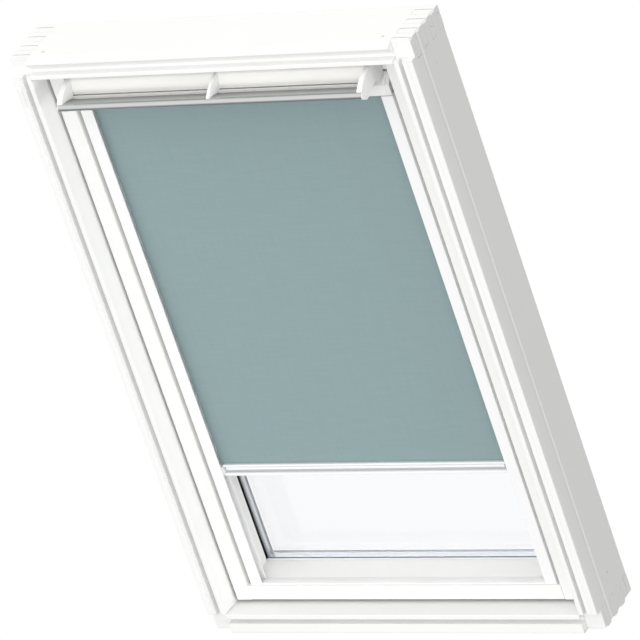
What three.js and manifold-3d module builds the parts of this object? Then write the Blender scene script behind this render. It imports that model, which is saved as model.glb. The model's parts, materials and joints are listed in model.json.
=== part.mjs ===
import * as THREE from 'three';
import { mergeVertices } from 'three/addons/utils/BufferGeometryUtils.js';
import Module from 'manifold-3d';

// A centre-pivot roof window with a roller blind in its sash, in millimetres.
// X runs across the window, Y from the room towards the sky and Z up the window.
// The origin is the centre of the frame's underside.
// A set-back is a depth measured from the room face of the frame.
// An inset is measured inwards from the outer edge of a frame or a sash.

// Whole window
const windowWidth = 780;
const windowHeight = 1178;
const frameDepth = 126;

// Gaps, overruns and the fineness of round stretches
const seatGap = 0.3;
const jointGap = 1.2;
const cutOverrun = 6;
const weldDistance = 0.001;
const cornerSteps = 4;
const pinSides = 20;
const holeSides = 10;

// Front of the jambs: an outer band with a scribed line, a groove for the lining, and a bead
const bandWidth = 18.8;
const bandLineInset = 9.7;
const bandLineWidth = 1.2;
const bandLineDepth = 1.9;
const bandEdgeRadius = 2;
const grooveWidth = 8.4;
const grooveDepth = 13;
const beadWidth = 8.9;
const beadRound = 0.9;
const jambLean = 4.6;

// Front of the head: a sloping strip, a cove under it and a lip
const stripSlope = 4.4;
const stripFace = 4.6;
const coveDrop = 15.5;
const coveFlat = 5.5;
const headLip = 8;
const headLean = 3;

// Front of the sill
const sillBand = 19.8;
const sillGroove = 9;
const sillBead = 9.7;
const sillLean = 1;

// Corners of the frame: comb joints behind a set-back ear
const earSetBack = 14;
const headEarHeight = 33;
const sillEarHeight = 38.5;
const earThickness = 7.6;
const fingerCount = 4;
const fingerChamfer = 3.5;

// Outside of the frame
const sideGrooveSetBack = 40;
const sideGrooveWidth = 6;
const sideGrooveDepth = 2.5;
const backEdgeRadius = 2;
const footRebateHeight = 5;
const footRebateDepth = 28;
const nailHoleRadius = 2.2;
const nailHoleDepth = 3;
const nailInsetShares = [0.92, 0.5, 0.3];
const bracketHoleFromEnd = 78.5;
const bracketHoleSetBack = 71.5;
const cornerMarkInset = 58;
const cornerMarkSetBack = 28;
const cornerMarkLength = 7;
const cornerMarkWidth = 3;

// Rubber seals round the frame's opening
const sealSetBack = 46;
const sealWidth = 5;
const sealRoot = 4;
const sealWall = 1.2;
const sideSealGap = 0.5;
const topSealGap = 1;
const bottomSealGap = 2.1;

// Sash and the gaps round it
const sashSideGap = 5.9;
const sashTopGap = 5.6;
const sashBottomGap = 7.1;
const sashSetBack = 35.5;
const sashThickness = 68.5;
const stileFace = 29.4;
const stileFaceDepth = 14.5;
const stileSlopeDepth = 10;
const stileStep = 7.2;
const stileLean = 6.1;
const railShelfDepth = 26.5;
const railLean = 10.7;
const sashEdgeRadius = 1.5;
const rebateDepth = 5;
const rebateWall = 13.4;

// Sealed glazing unit
const paneEdgeGap = 2.6;
const paneThickness = 4;
const spacerDepth = 16;
const spacerShow = 0.4;
const spacerWidth = 20;
const gasketWidth = 14;
const gasketThickness = 2.4;

// Metal covers that hold the glazing unit in from outside
const coverEdgeInset = 3;
const coverShortfall = 1.5;
const coverLip = 2.7;
const coverWall = 2;
const coverRadius = 3;

// Centre pivot
const pivotSetBack = 90;
const hingePlateHeight = 120;
const hingePlateDepth = 26;
const hingePlateThickness = 3.2;
const hingePinRadius = 8;
const hingePinClearance = 0.3;
const hingePinEngagement = 5.7;
const hingeBossWall = 4;
const hingeBossDepth = 4.5;
const hingeBoreFloor = 1.2;

// Latch in the sash's top rail and its keeper on the frame's head
const latchDepth = 26.5;
const tongueDepth = 9;
const tongueWidth = 14;
const tongueHeight = 21.5;
const tongueStandOut = 1.9;
const tongueChamfer = 3;
const latchWall = 2;
const latchCaseWidth = 44;
const latchCaseHeight = 28;
const latchSideClearance = 0.5;
const keeperLength = 40;
const keeperDepth = 30;
const keeperThickness = 1.5;
const keeperLipDrop = 2.9;
const keeperAhead = 2.5;

// Control bar, its brackets and the ventilation flap, hinged on the sash's top rail.
// Ahead is measured from the sash's face towards the room, drop from its top edge.
const barEndMargin = 16.7;
const barHingeAhead = 7.5;
const barHingeDrop = 31.4;
const barHingeRadius = 6.9;
const barPinRadius = 2.6;
const barPinClearance = 0.3;
const barCapThickness = 1.6;
const barCapFromAhead = 53;
const barTailAhead = 32.5;
const barTailDrop = 32.4;
const barTailThickness = 2.2;
const barTopAhead = 64.5;
const barTopDrop = 23.2;
const barNoseAhead = 71.8;
const barNoseDrop = 29.4;
const barUnderAhead = 68.5;
const barUnderDrop = 36.8;
const barHollowAhead = 49.5;
const barHollowDrop = 38;
const endBracketThickness = 9.6;
const middleBracketThickness = 5.5;
const bracketBackAhead = 0.6;
const bracketTopDrop = 0.2;
const bracketShoulderAhead = 20.5;
const bracketShoulderRadius = 15;
const bracketKneeAhead = 47.5;
const bracketKneeDrop = 8.8;
const bracketMouthAhead = 66.5;
const bracketMouthDrop = 22.2;
const bracketTipAhead = 59.5;
const bracketTipWidth = 10;
const bracketTipDrop = 42.6;
const bracketTipRadius = 2.5;
const bracketHeelAhead = -15;
const bracketHeelTopDrop = 5;
const bracketHeelFootDrop = 34;
const bracketAnkleDrop = 38;
const bracketFootDrop = 42;
const bracketArchAhead = 20;
const bracketArchDrop = 30.8;
const bracketArchRadius = 5;
const heelRecessDepth = 17;
const heelRecessSide = 1;
const bracketWaistAhead = 41.5;
const bracketWaistDrop = 36.8;
const bracketBellyAhead = 28.5;
const bracketBellyDrop = 35.4;
const bracketWaistRadius = 5;
const flapBackAhead = 2.5;
const flapTopDrop = 0.4;
const flapShoulderAhead = 18.5;
const flapShoulderRadius = 7;
const flapBellyAhead = 25.1;
const flapBellyDrop = 19.4;
const flapBellyRadius = 12;
const flapFootAhead = 22.5;
const flapWall = 2.5;
const flapLedgeAhead = 30.5;
const flapLedgeDrop = 29.2;
const flapLedgeThickness = 3;
const barHingePlateThickness = 4;
const barHingePlateRise = 17;
const barHingePlateAhead = 14;

// Roller blind: box at the top, guide rails, cloth and bottom bar
const boxInset = 2.5;
const boxTopGap = 6;
const boxHeight = 38;
const boxDepth = 44;
const boxWall = 1.4;
const boxRadius = 4;
const boxSlopeReach = 17;
const boxSlotWidth = 13.5;
const endCapThickness = 4;
const endCapFlange = 3;
const endCapSideGap = 4;
const rollerDepth = 26;
const tubeRadius = 10;
const tubeWall = 1.2;
const tubeEndSpace = 10;
const plugFlange = 2;
const plugDepth = 14;
const stubRadius = 3.5;
const stubLength = 12;
const stubClearance = 0.3;
const woundClothRadius = 11.8;
const clothThickness = 0.6;
const clothEdgeSpace = 0.8;
const railFlange = 2.5;
const railWeb = 3;
const railFrontWidth = 22.5;
const railBackWidth = 20.5;
const railDepth = 21.5;
const railEdgeRadius = 1;
const drawnLength = 733;
const bottomBarTall = 21.5;
const bottomBarEndGap = 2.4;
const bottomBarDepth = 18.5;
const topLipDepth = 6;
const topLipTall = 3.2;
const barBandDepth = 6.4;
const barBandTall = 4.6;
const barLineTall = 1.6;
const barLineDepth = 1.2;
const pullLipDepth = 4.1;
const pullLipTall = 5.2;
const barCoveDepth = 11.5;
const barCoveTall = 2;
const clothSlotDepth = 6;
const bandEndNotch = 4;
const sliderTall = 16;
const sliderClearance = 0.6;
const landingStripDepth = 11;
const landingStripTall = 3;
const clipWidth = 24;
const clipDepth = 6;
const clipWall = 1.5;
const clipFromEnd = 80;

// Finishes
const whitePaint = { color: 0xf6f6f4, roughness: 0.45, metalness: 0 };
const warmWhitePaint = { color: 0xf4f3ee, roughness: 0.5, metalness: 0 };
const whiteLacquer = { color: 0xf8f8f8, roughness: 0.35, metalness: 0.1 };
const whitePlastic = { color: 0xf2f2f0, roughness: 0.4, metalness: 0 };
const anodised = { color: 0xb9bbbb, roughness: 0.3, metalness: 0.9 };
const greyLacquer = { color: 0x5c6063, roughness: 0.5, metalness: 0.4 };
const zincSteel = { color: 0xa9abad, roughness: 0.4, metalness: 0.9 };
const darkRubber = { color: 0x2c2d2e, roughness: 0.9, metalness: 0 };
const clearGlass = { color: 0xdfeaee, roughness: 0.05, metalness: 0, transparent: true, opacity: 0.3 };
const blindCloth = { color: 0x8fa3a6, roughness: 0.95, metalness: 0 };

// Sizes of the frame that follow from the ones above
const halfWidth = windowWidth / 2;
const halfHeight = windowHeight / 2;
const jambFace = bandWidth + grooveWidth + beadWidth;
const jambThickness = jambFace + jambLean;
const headFace = stripSlope + stripFace + coveDrop + coveFlat + headLip;
const headThickness = headFace + headLean;
const sillFace = sillBand + sillGroove + sillBead;
const sillThickness = sillFace + sillLean;
const combStart = earSetBack + earThickness;
const fingerWidth = (frameDepth - combStart) / (2 * fingerCount - 1);

// Sizes of the sash and its glass
const sashHalfWidth = halfWidth - jambThickness - sashSideGap;
const sashTop = windowHeight - headThickness - sashTopGap;
const sashBottom = sillThickness + sashBottomGap;
const sashHalfHeight = (sashTop - sashBottom) / 2;
const sashMiddle = (sashTop + sashBottom) / 2;
const pivotRise = sashMiddle - halfHeight;
const sashBack = sashSetBack + sashThickness;
const rebateFloor = sashBack - rebateDepth;
const stileSlopeStart = sashSetBack + stileFaceDepth;
const stileSlopeEnd = stileSlopeStart + stileSlopeDepth;
const stileSight = stileFace + stileStep + stileLean;
const sashShelf = sashBottom + stileFace;
const innerPaneSetBack = rebateFloor + gasketThickness + 2 * seatGap;
const spacerSetBack = innerPaneSetBack + paneThickness;
const outerPaneSetBack = spacerSetBack + spacerDepth;
const glassBack = outerPaneSetBack + paneThickness + seatGap;
const coverBack = glassBack + coverLip + coverWall;
const coverReach = stileSight + spacerShow - coverShortfall;

// Sizes of the latch and the control bar
const latchSetBack = sashSetBack + latchDepth;
const tongueBack = latchSetBack + tongueDepth;
const latchFloor = sashTop - latchCaseHeight;
const latchCaseFront = latchSetBack - latchSideClearance - latchWall;
const latchCaseBack = tongueBack + latchSideClearance + latchWall;
const bracketOuter = sashHalfWidth - stileFace - barEndMargin;
const bracketInner = bracketOuter - endBracketThickness;
const barHalfLength = bracketOuter - barCapThickness - seatGap;

// Sizes of the blind
const blindHalfWidth = sashHalfWidth - stileFace - stileStep - seatGap;
const blindSetBack = stileSlopeEnd - railDepth;
const railBack = blindSetBack + railDepth;
const boxFront = sashSetBack + boxInset;
const boxBack = boxFront + boxDepth;
const boxTop = sashTop - stileFace - boxTopGap;
const boxBottom = boxTop - boxHeight;
const boxHalfLength = blindHalfWidth - endCapSideGap - endCapThickness - seatGap;
const rollerSetBack = boxFront + rollerDepth;
const rollerHeight = (boxTop + boxBottom) / 2;
const rollerCentre = [rollerSetBack, rollerHeight];
const tubeHalfLength = boxHalfLength - tubeEndSpace;
const clothHalfWidth = tubeHalfLength - clothEdgeSpace;
const clothSetBack = rollerSetBack - woundClothRadius - seatGap - clothThickness / 2;
const clothSlotHalf = clothThickness / 2 + seatGap;
const bottomBarHalfLength = blindHalfWidth - railFrontWidth - bottomBarEndGap;
const bottomBarTop = boxBottom - drawnLength;
const bottomBarHeight = bottomBarTop - bottomBarTall;

const wasm = await Module();
wasm.setup();

// Solids and booleans

function solidOf(geometry) {
  geometry.deleteAttribute('normal');
  geometry.deleteAttribute('uv');
  const welded = mergeVertices(geometry, weldDistance);
  return new wasm.Manifold(new wasm.Mesh({
    numProp: 3,
    vertProperties: new Float32Array(welded.attributes.position.array),
    triVerts: new Uint32Array(welded.index.array),
  }));
}

function geometryOf(solid) {
  const mesh = solid.getMesh();
  const geometry = new THREE.BufferGeometry();
  geometry.setAttribute('position', new THREE.BufferAttribute(mesh.vertProperties, 3));
  geometry.setIndex(new THREE.BufferAttribute(mesh.triVerts, 1));
  geometry.computeVertexNormals();
  return geometry;
}

function cut(solid, cutters) {
  return cutters.reduce((rest, cutter) => rest.subtract(cutter), solid);
}

function join(solids) {
  return solids.reduce((whole, solid) => whole.add(solid));
}

// An outline whose points are [x, y] or [x, y, radius of the rounded corner]
function outlineOf(points) {
  const shape = new THREE.Shape();
  const count = points.length;
  points.forEach(([x, y, radius = 0], i) => {
    const corner = new THREE.Vector2(x, y);
    const previous = new THREE.Vector2(...points[(i + count - 1) % count]);
    const next = new THREE.Vector2(...points[(i + 1) % count]);
    const reachIn = Math.min(radius, corner.distanceTo(previous) / 2);
    const reachOut = Math.min(radius, corner.distanceTo(next) / 2);
    const start = previous.sub(corner).setLength(reachIn).add(corner);
    const end = next.sub(corner).setLength(reachOut).add(corner);
    if (i === 0) shape.moveTo(start.x, start.y);
    else shape.lineTo(start.x, start.y);
    if (radius > 0) shape.quadraticCurveTo(x, y, end.x, end.y);
  });
  return shape;
}

// A straight bar with the given outline, from one place along local Z to another
function prismBetween(points, [from, to]) {
  const geometry = new THREE.ExtrudeGeometry(outlineOf(points), {
    depth: to - from,
    bevelEnabled: false,
    curveSegments: cornerSteps,
  });
  geometry.translate(0, 0, from);
  return solidOf(geometry);
}

// The same, centred on its length
function prism(points, length) {
  return prismBetween(points, [-length / 2, length / 2]);
}

// An outline of inset and height, taken through the whole depth of the window
function prismThrough(points) {
  const geometry = new THREE.ExtrudeGeometry(outlineOf(points), {
    depth: 2 * frameDepth,
    bevelEnabled: false,
  });
  geometry.rotateX(Math.PI / 2);
  geometry.translate(0, 2 * frameDepth - cutOverrun, 0);
  return solidOf(geometry);
}

function block([x0, x1], [y0, y1], [z0, z1]) {
  const geometry = new THREE.BoxGeometry(x1 - x0, y1 - y0, z1 - z0);
  geometry.translate((x0 + x1) / 2, (y0 + y1) / 2, (z0 + z1) / 2);
  return solidOf(geometry);
}

// A round pin along local Z
function pinAlongZ(radius, [x, y], [z0, z1], sides = pinSides) {
  const geometry = new THREE.CylinderGeometry(radius, radius, z1 - z0, sides);
  geometry.rotateX(Math.PI / 2);
  geometry.translate(x, y, (z0 + z1) / 2);
  return solidOf(geometry);
}

// A round pin along local X
function pinAlongX(radius, [x0, x1], [y, z], sides = pinSides) {
  const geometry = new THREE.CylinderGeometry(radius, radius, x1 - x0, sides);
  geometry.rotateZ(Math.PI / 2);
  geometry.translate((x0 + x1) / 2, y, z);
  return solidOf(geometry);
}

// A stretch on the left (end -1) or the right (end 1) of the middle
function spanAt(end, inner, outer) {
  return end > 0 ? [inner, outer] : [-outer, -inner];
}

function addPiece(group, name, solid, finish) {
  const material = new THREE.MeshStandardMaterial({ ...finish, flatShading: true });
  const mesh = new THREE.Mesh(geometryOf(solid), material);
  mesh.name = name;
  group.add(mesh);
  return mesh;
}

// One side of a rectangle in the window's plane. Its local X is the inset from the
// rectangle's edge, its local Y the set-back, and its local Z runs along the side.
function sideGroup(parent, side, acrossReach, heightReach, middle) {
  const group = new THREE.Group();
  const places = {
    left: [-acrossReach, middle, 0],
    right: [acrossReach, middle, Math.PI],
    bottom: [0, middle - heightReach, -Math.PI / 2],
    top: [0, middle + heightReach, Math.PI / 2],
  };
  const [across, height, turn] = places[side];
  group.position.set(across, -frameDepth / 2, height);
  group.rotation.y = turn;
  parent.add(group);
  return group;
}

function frameSide(side) {
  return sideGroup(frame, side, halfWidth, halfHeight, halfHeight);
}

function sashSide(side) {
  return sideGroup(sash, side, sashHalfWidth, sashHalfHeight, sashMiddle);
}

// For pieces that run across the window: local X is the set-back, local Y the height
// above the underside, and local Z the window's own X.
function acrossGroup(parent) {
  const group = new THREE.Group();
  const across = new THREE.Vector3(1, 0, 0);
  const depth = new THREE.Vector3(0, 1, 0);
  const height = new THREE.Vector3(0, 0, 1);
  group.quaternion.setFromRotationMatrix(new THREE.Matrix4().makeBasis(depth, height, across));
  group.position.set(0, -frameDepth / 2, 0);
  parent.add(group);
  return group;
}

// For pieces on the sash's top rail: local X reaches ahead of the sash's face, local Y
// drops from the sash's top edge, and local Z is the window's own X.
function aheadGroup(parent) {
  const group = new THREE.Group();
  const across = new THREE.Vector3(1, 0, 0);
  const ahead = new THREE.Vector3(0, -1, 0);
  const drop = new THREE.Vector3(0, 0, -1);
  group.quaternion.setFromRotationMatrix(new THREE.Matrix4().makeBasis(ahead, drop, across));
  group.position.set(0, sashSetBack - frameDepth / 2, sashTop);
  parent.add(group);
  return group;
}

// Keeps only what lies inside a mitre at both ends of a side of the given length
function mitred(solid, length, reach) {
  const half = length / 2 - seatGap;
  const points = [[0, -half], [reach, reach - half], [reach, half - reach], [0, half]];
  return solid.intersect(prismThrough(points));
}

// Frame

// The inner face of a member, with the groove that the seal's root sits in
function revealPoints(face, thickness) {
  const grooveFloor = thickness - sealRoot - seatGap;
  const grooveFront = sealSetBack - seatGap;
  const grooveBack = sealSetBack + sealWidth + seatGap;
  return [
    [face, beadRound],
    [thickness, sashSetBack],
    [thickness, grooveFront],
    [grooveFloor, grooveFront],
    [grooveFloor, grooveBack],
    [thickness, grooveBack],
    [thickness, frameDepth, backEdgeRadius],
  ];
}

function jambOutline() {
  const lineEnd = bandLineInset + bandLineWidth;
  const grooveEnd = bandWidth + grooveWidth;
  return [
    [0, 0, bandEdgeRadius],
    [bandLineInset, 0],
    [bandLineInset + bandLineWidth / 2, bandLineDepth],
    [lineEnd, bandLineDepth],
    [bandWidth, 0],
    [bandWidth, grooveDepth],
    [grooveEnd, grooveDepth],
    [grooveEnd, beadRound],
    [grooveEnd + beadRound, 0],
    [jambFace - beadRound, 0],
    ...revealPoints(jambFace, jambThickness),
    [0, frameDepth, backEdgeRadius],
    [0, sideGrooveSetBack + sideGrooveWidth / 2],
    [sideGrooveDepth, sideGrooveSetBack - sideGrooveWidth / 2],
    [0, sideGrooveSetBack - sideGrooveWidth / 2],
  ];
}

function headOutline() {
  const stripEnd = stripSlope + stripFace;
  const coveEnd = stripEnd + coveDrop;
  const lipStart = coveEnd + coveFlat;
  return [
    [0, earSetBack],
    [stripSlope, 0, bandEdgeRadius],
    [stripEnd, 0],
    [coveEnd, earSetBack],
    [lipStart, earSetBack],
    [lipStart, beadRound],
    [lipStart + beadRound, 0],
    [headFace - beadRound, 0],
    ...revealPoints(headFace, headThickness),
    [0, frameDepth, backEdgeRadius],
  ];
}

function sillOutline() {
  const grooveEnd = sillBand + sillGroove;
  const rebateFront = frameDepth - footRebateDepth;
  return [
    [0, 0, bandEdgeRadius],
    [sillBand, 0],
    [sillBand, grooveDepth],
    [grooveEnd, grooveDepth],
    [grooveEnd, beadRound],
    [grooveEnd + beadRound, 0],
    [sillFace - beadRound, 0],
    ...revealPoints(sillFace, sillThickness),
    [footRebateHeight, frameDepth],
    [footRebateHeight, rebateFront],
    [0, rebateFront],
  ];
}

// Where the fingers of the head and the sill start, as set-backs
function fingerStarts() {
  return Array.from({ length: fingerCount }, (_, i) => combStart + 2 * i * fingerWidth);
}

// What a jamb loses at one end: the front in front of its ear, the part that the head
// or sill runs over, the slots for their fingers, and the outer edge of its own fingers
function jambEndCutters(end, thickness, earHeight) {
  const across = [-cutOverrun, jambThickness + cutOverrun];
  const tip = halfHeight + cutOverrun;
  const shoulder = halfHeight - thickness - seatGap;
  const past = end * tip;
  const chamferReach = fingerChamfer + cutOverrun;
  return [
    block(across, [-cutOverrun, earSetBack], spanAt(end, halfHeight - earHeight, tip)),
    block([jambFace, across[1]], [-cutOverrun, frameDepth + cutOverrun], spanAt(end, shoulder, tip)),
    ...fingerStarts().map((start, i) => {
      const last = i === fingerCount - 1;
      const stop = last ? frameDepth + cutOverrun : start + fingerWidth;
      return block(across, [start, stop], spanAt(end, shoulder, tip));
    }),
    prismThrough([
      [-cutOverrun, past],
      [-cutOverrun, past - end * (chamferReach + cutOverrun)],
      [chamferReach, past],
    ]),
  ];
}

// What the head or the sill loses at one end: the front, which stops against the
// jamb, and the slots for the jamb's fingers. Each slot's front gap shows as a line.
function combCutters(end, thickness) {
  const through = [-cutOverrun, thickness + cutOverrun];
  const span = spanAt(end, halfWidth - jambFace - seatGap, halfWidth + cutOverrun);
  const starts = fingerStarts();
  return starts.map((start, i) => {
    const slotFront = i === 0 ? -cutOverrun : starts[i - 1] + fingerWidth - seatGap;
    return block(through, [slotFront, start + jointGap], span);
  });
}

// Nails through the ends of the head's fingers
function fingerNailCutters(end) {
  const reach = spanAt(end, halfWidth - nailHoleDepth, halfWidth + cutOverrun);
  return nailInsetShares.map((share, i) => {
    const setBack = fingerStarts()[i + 1] + fingerWidth / 2;
    return pinAlongZ(nailHoleRadius, [share * headThickness, setBack], reach, holeSides);
  });
}

function bracketHole(end) {
  const along = end * (halfHeight - bracketHoleFromEnd);
  return pinAlongX(nailHoleRadius, [-cutOverrun, nailHoleDepth], [bracketHoleSetBack, along], holeSides);
}

// The pocket for a hinge plate, let into the face at the given inset
function hingePocket(faces, rise) {
  const halfPlateDepth = hingePlateDepth / 2 + seatGap;
  const halfPlateHeight = hingePlateHeight / 2 + seatGap;
  return block(
    faces,
    [pivotSetBack - halfPlateDepth, pivotSetBack + halfPlateDepth],
    [rise - halfPlateHeight, rise + halfPlateHeight],
  );
}

function makeJamb(side) {
  const up = side === 'left' ? 1 : -1;
  const rise = up * pivotRise;
  const pocketFloor = jambThickness - hingePlateThickness - seatGap;
  const bossFloor = pocketFloor - hingeBossDepth - seatGap;
  const bossRadius = hingePinRadius + hingePinClearance + hingeBossWall + seatGap;
  const rebateSpan = [halfHeight - footRebateHeight, halfHeight + cutOverrun];
  return cut(prism(jambOutline(), windowHeight), [
    ...jambEndCutters(up, headThickness, headEarHeight),
    ...jambEndCutters(-up, sillThickness, sillEarHeight),
    bracketHole(1),
    bracketHole(-1),
    block(
      [-cutOverrun, jambThickness + cutOverrun],
      [frameDepth - footRebateDepth, frameDepth + cutOverrun],
      spanAt(-up, ...rebateSpan),
    ),
    hingePocket([pocketFloor, jambThickness + cutOverrun], rise),
    pinAlongX(bossRadius, [bossFloor, jambThickness], [pivotSetBack, rise]),
  ]);
}

function makeHead() {
  const marks = [-1, 1].map((end) => {
    const middle = end * (halfWidth - cornerMarkInset);
    return block(
      [-cutOverrun, cornerMarkWidth],
      [cornerMarkSetBack, cornerMarkSetBack + cornerMarkWidth],
      [middle - cornerMarkLength / 2, middle + cornerMarkLength / 2],
    );
  });
  return cut(prism(headOutline(), windowWidth), [
    ...[-1, 1].flatMap((end) => combCutters(end, headThickness)),
    ...[-1, 1].flatMap((end) => fingerNailCutters(end)),
    ...marks,
  ]);
}

function makeSill() {
  return cut(prism(sillOutline(), windowWidth), [-1, 1].flatMap((end) => combCutters(end, sillThickness)));
}

// A hollow bulb seal: its root sits in the member's groove and its bulb bears on the sash
function makeSeal(thickness, reach, length) {
  const root = thickness - sealRoot;
  const tip = thickness + reach;
  const front = sealSetBack;
  const back = sealSetBack + sealWidth;
  const solid = prism([
    [root, front],
    [thickness, front],
    [tip, front, sealWidth / 2],
    [tip, back, sealWidth / 2],
    [thickness, back],
    [root, back],
  ], length);
  const hollowRadius = sealWidth / 2 - sealWall / 2;
  const hollow = prism([
    [thickness, front + sealWall],
    [tip - sealWall, front + sealWall, hollowRadius],
    [tip - sealWall, back - sealWall, hollowRadius],
    [thickness, back - sealWall],
  ], length + cutOverrun);
  return cut(solid, [hollow]);
}

function hingePlate([x0, x1]) {
  return block(
    [x0, x1],
    [pivotSetBack - hingePlateDepth / 2, pivotSetBack + hingePlateDepth / 2],
    [-hingePlateHeight / 2, hingePlateHeight / 2],
  );
}

// The frame's half of the pivot: a plate with a boss that holds the bore
function makeFrameHinge() {
  const face = jambThickness;
  const plateBack = face - hingePlateThickness;
  const bossBack = plateBack - hingeBossDepth;
  const boreRadius = hingePinRadius + hingePinClearance;
  const boss = pinAlongX(boreRadius + hingeBossWall, [bossBack, face], [pivotSetBack, 0]);
  const bore = pinAlongX(boreRadius, [bossBack + hingeBoreFloor, face + cutOverrun], [pivotSetBack, 0]);
  return cut(join([hingePlate([plateBack, face]), boss]), [bore]);
}

// The sash's half of the pivot: a plate let into the stile, with the pin
function makeSashHinge() {
  const reach = sashSideGap + hingePinEngagement;
  const pin = pinAlongX(hingePinRadius, [-reach, hingePlateThickness], [pivotSetBack, 0]);
  return join([hingePlate([0, hingePlateThickness]), pin]);
}

// An angle under the head, whose lip the latch's tongue comes up behind
function makeKeeper() {
  const plateTop = windowHeight - headThickness - seatGap;
  const plateBottom = plateTop - keeperThickness;
  const front = latchSetBack - keeperAhead;
  const lipBack = front + keeperThickness;
  const lipBottom = plateTop - keeperLipDrop;
  return prism([
    [front, plateTop],
    [front + keeperDepth, plateTop],
    [front + keeperDepth, plateBottom],
    [lipBack, plateBottom],
    [lipBack, lipBottom],
    [front, lipBottom],
  ], keeperLength);
}

// Sash

function stileOutline() {
  return [
    [0, sashSetBack, sashEdgeRadius],
    [stileFace, sashSetBack, sashEdgeRadius],
    [stileFace, stileSlopeStart],
    [stileFace + stileStep, stileSlopeEnd],
    [stileSight, rebateFloor],
    [rebateWall, rebateFloor],
    [rebateWall, sashBack],
    [0, sashBack],
  ];
}

// The room side of a stile grown by the seat gap and run past its back, to cope a rail
function copeOutline() {
  const face = stileFace + seatGap;
  const sight = stileSight + seatGap;
  return [
    [-cutOverrun, sashSetBack - cutOverrun],
    [face, sashSetBack - cutOverrun],
    [face, stileSlopeStart - seatGap],
    [face + stileStep, stileSlopeEnd - seatGap],
    [sight, rebateFloor],
    [sight, sashBack + cutOverrun],
    [-cutOverrun, sashBack + cutOverrun],
  ];
}

function railOutline() {
  return [
    [0, sashSetBack, sashEdgeRadius],
    [stileFace, sashSetBack, sashEdgeRadius],
    [stileFace, sashSetBack + railShelfDepth],
    [stileFace + railLean, rebateFloor],
    [rebateWall, rebateFloor],
    [rebateWall, sashBack],
    [0, sashBack],
  ];
}

// A rail whose ends are coped to the stiles' section
function makeRail() {
  const reach = stileFace + railLean + cutOverrun;
  const copes = [-1, 1].map((end) => {
    const geometry = new THREE.ExtrudeGeometry(outlineOf(copeOutline()), {
      depth: reach + cutOverrun,
      bevelEnabled: false,
    });
    geometry.translate(-sashHalfWidth, 0, -cutOverrun);
    geometry.rotateY(-end * Math.PI / 2);
    geometry.translate(end > 0 ? reach - cutOverrun : 0, 0, 0);
    return solidOf(geometry);
  });
  return cut(prism(railOutline(), 2 * sashHalfWidth), copes);
}

function makeStile() {
  const pocket = hingePocket([-cutOverrun, hingePlateThickness + seatGap], 0);
  return cut(prism(stileOutline(), 2 * sashHalfHeight), [pocket]);
}

function makePane() {
  const inset = rebateWall + paneEdgeGap;
  return block(
    [inset - sashHalfWidth, sashHalfWidth - inset],
    [0, paneThickness],
    [inset - sashHalfHeight, sashHalfHeight - inset],
  );
}

// The uprights of the glazing's edge run full height, and the others fit between them
function addEdgeBars(name, outerInset, innerInset, depths, finish) {
  for (const side of ['left', 'right', 'bottom', 'top']) {
    const upright = side === 'left' || side === 'right';
    const inset = upright ? outerInset : innerInset + seatGap;
    const half = (upright ? sashHalfHeight : sashHalfWidth) - inset;
    const solid = block([outerInset, innerInset], depths, [-half, half]);
    addPiece(sashSide(side), `${side}_${name}`, solid, finish);
  }
}

// A channel that wraps the glazing's edge from outside and bears on the glass
function makeCover(length) {
  const legInner = coverEdgeInset + coverWall;
  const faceFront = coverBack - coverWall;
  const profile = prism([
    [coverEdgeInset, sashBack + seatGap],
    [legInner, sashBack + seatGap],
    [legInner, faceFront],
    [coverReach - coverWall, faceFront],
    [coverReach - coverWall, glassBack],
    [coverReach, glassBack],
    [coverReach, coverBack],
    [coverEdgeInset, coverBack, coverRadius],
  ], length);
  return mitred(profile, length, coverReach + cutOverrun);
}

// Latch in the top rail

function makeLatchCase() {
  const half = latchCaseWidth / 2;
  const well = tongueWidth / 2 + latchSideClearance;
  return cut(
    block([latchCaseFront, latchCaseBack], [latchFloor, sashTop], [-half, half]),
    [block(
      [latchSetBack - latchSideClearance, tongueBack + latchSideClearance],
      [latchFloor + latchWall, sashTop + cutOverrun],
      [-well, well],
    )],
  );
}

function makeTongue() {
  const top = sashTop + tongueStandOut;
  return prism([
    [latchSetBack, top - tongueHeight],
    [tongueBack, top - tongueHeight],
    [tongueBack, top - tongueChamfer],
    [tongueBack - tongueChamfer, top],
    [latchSetBack, top],
  ], tongueWidth);
}

// The pocket for the latch case, in the top rail's own directions
function latchPocket() {
  const half = latchCaseWidth / 2 + seatGap;
  return block(
    [-cutOverrun, latchCaseHeight + seatGap],
    [latchCaseFront - seatGap, latchCaseBack + seatGap],
    [-half, half],
  );
}

// The recess in the top rail's face that the heel of an end bracket swings in
function heelRecess(end) {
  return block(
    [-cutOverrun, stileFace + cutOverrun],
    [sashSetBack - cutOverrun, sashSetBack + heelRecessDepth],
    spanAt(end, bracketInner - heelRecessSide, sashHalfWidth),
  );
}

// Control bar and ventilation flap

function barOutline(grow) {
  const noseLength = barNoseAhead - barTopAhead;
  return [
    [barTailAhead - grow, barTailDrop - grow, barTailThickness / 2],
    [barTopAhead, barTopDrop - grow, noseLength + barTopAhead - barHollowAhead],
    [barNoseAhead + grow, barNoseDrop, barNoseDrop - barTopDrop],
    [barUnderAhead, barUnderDrop + grow, barUnderDrop - barNoseDrop],
    [barHollowAhead, barHollowDrop + grow, barHollowAhead - barTailAhead],
    [barTailAhead - grow, barTailDrop + barTailThickness + grow, barTailThickness / 2],
  ];
}

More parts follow.
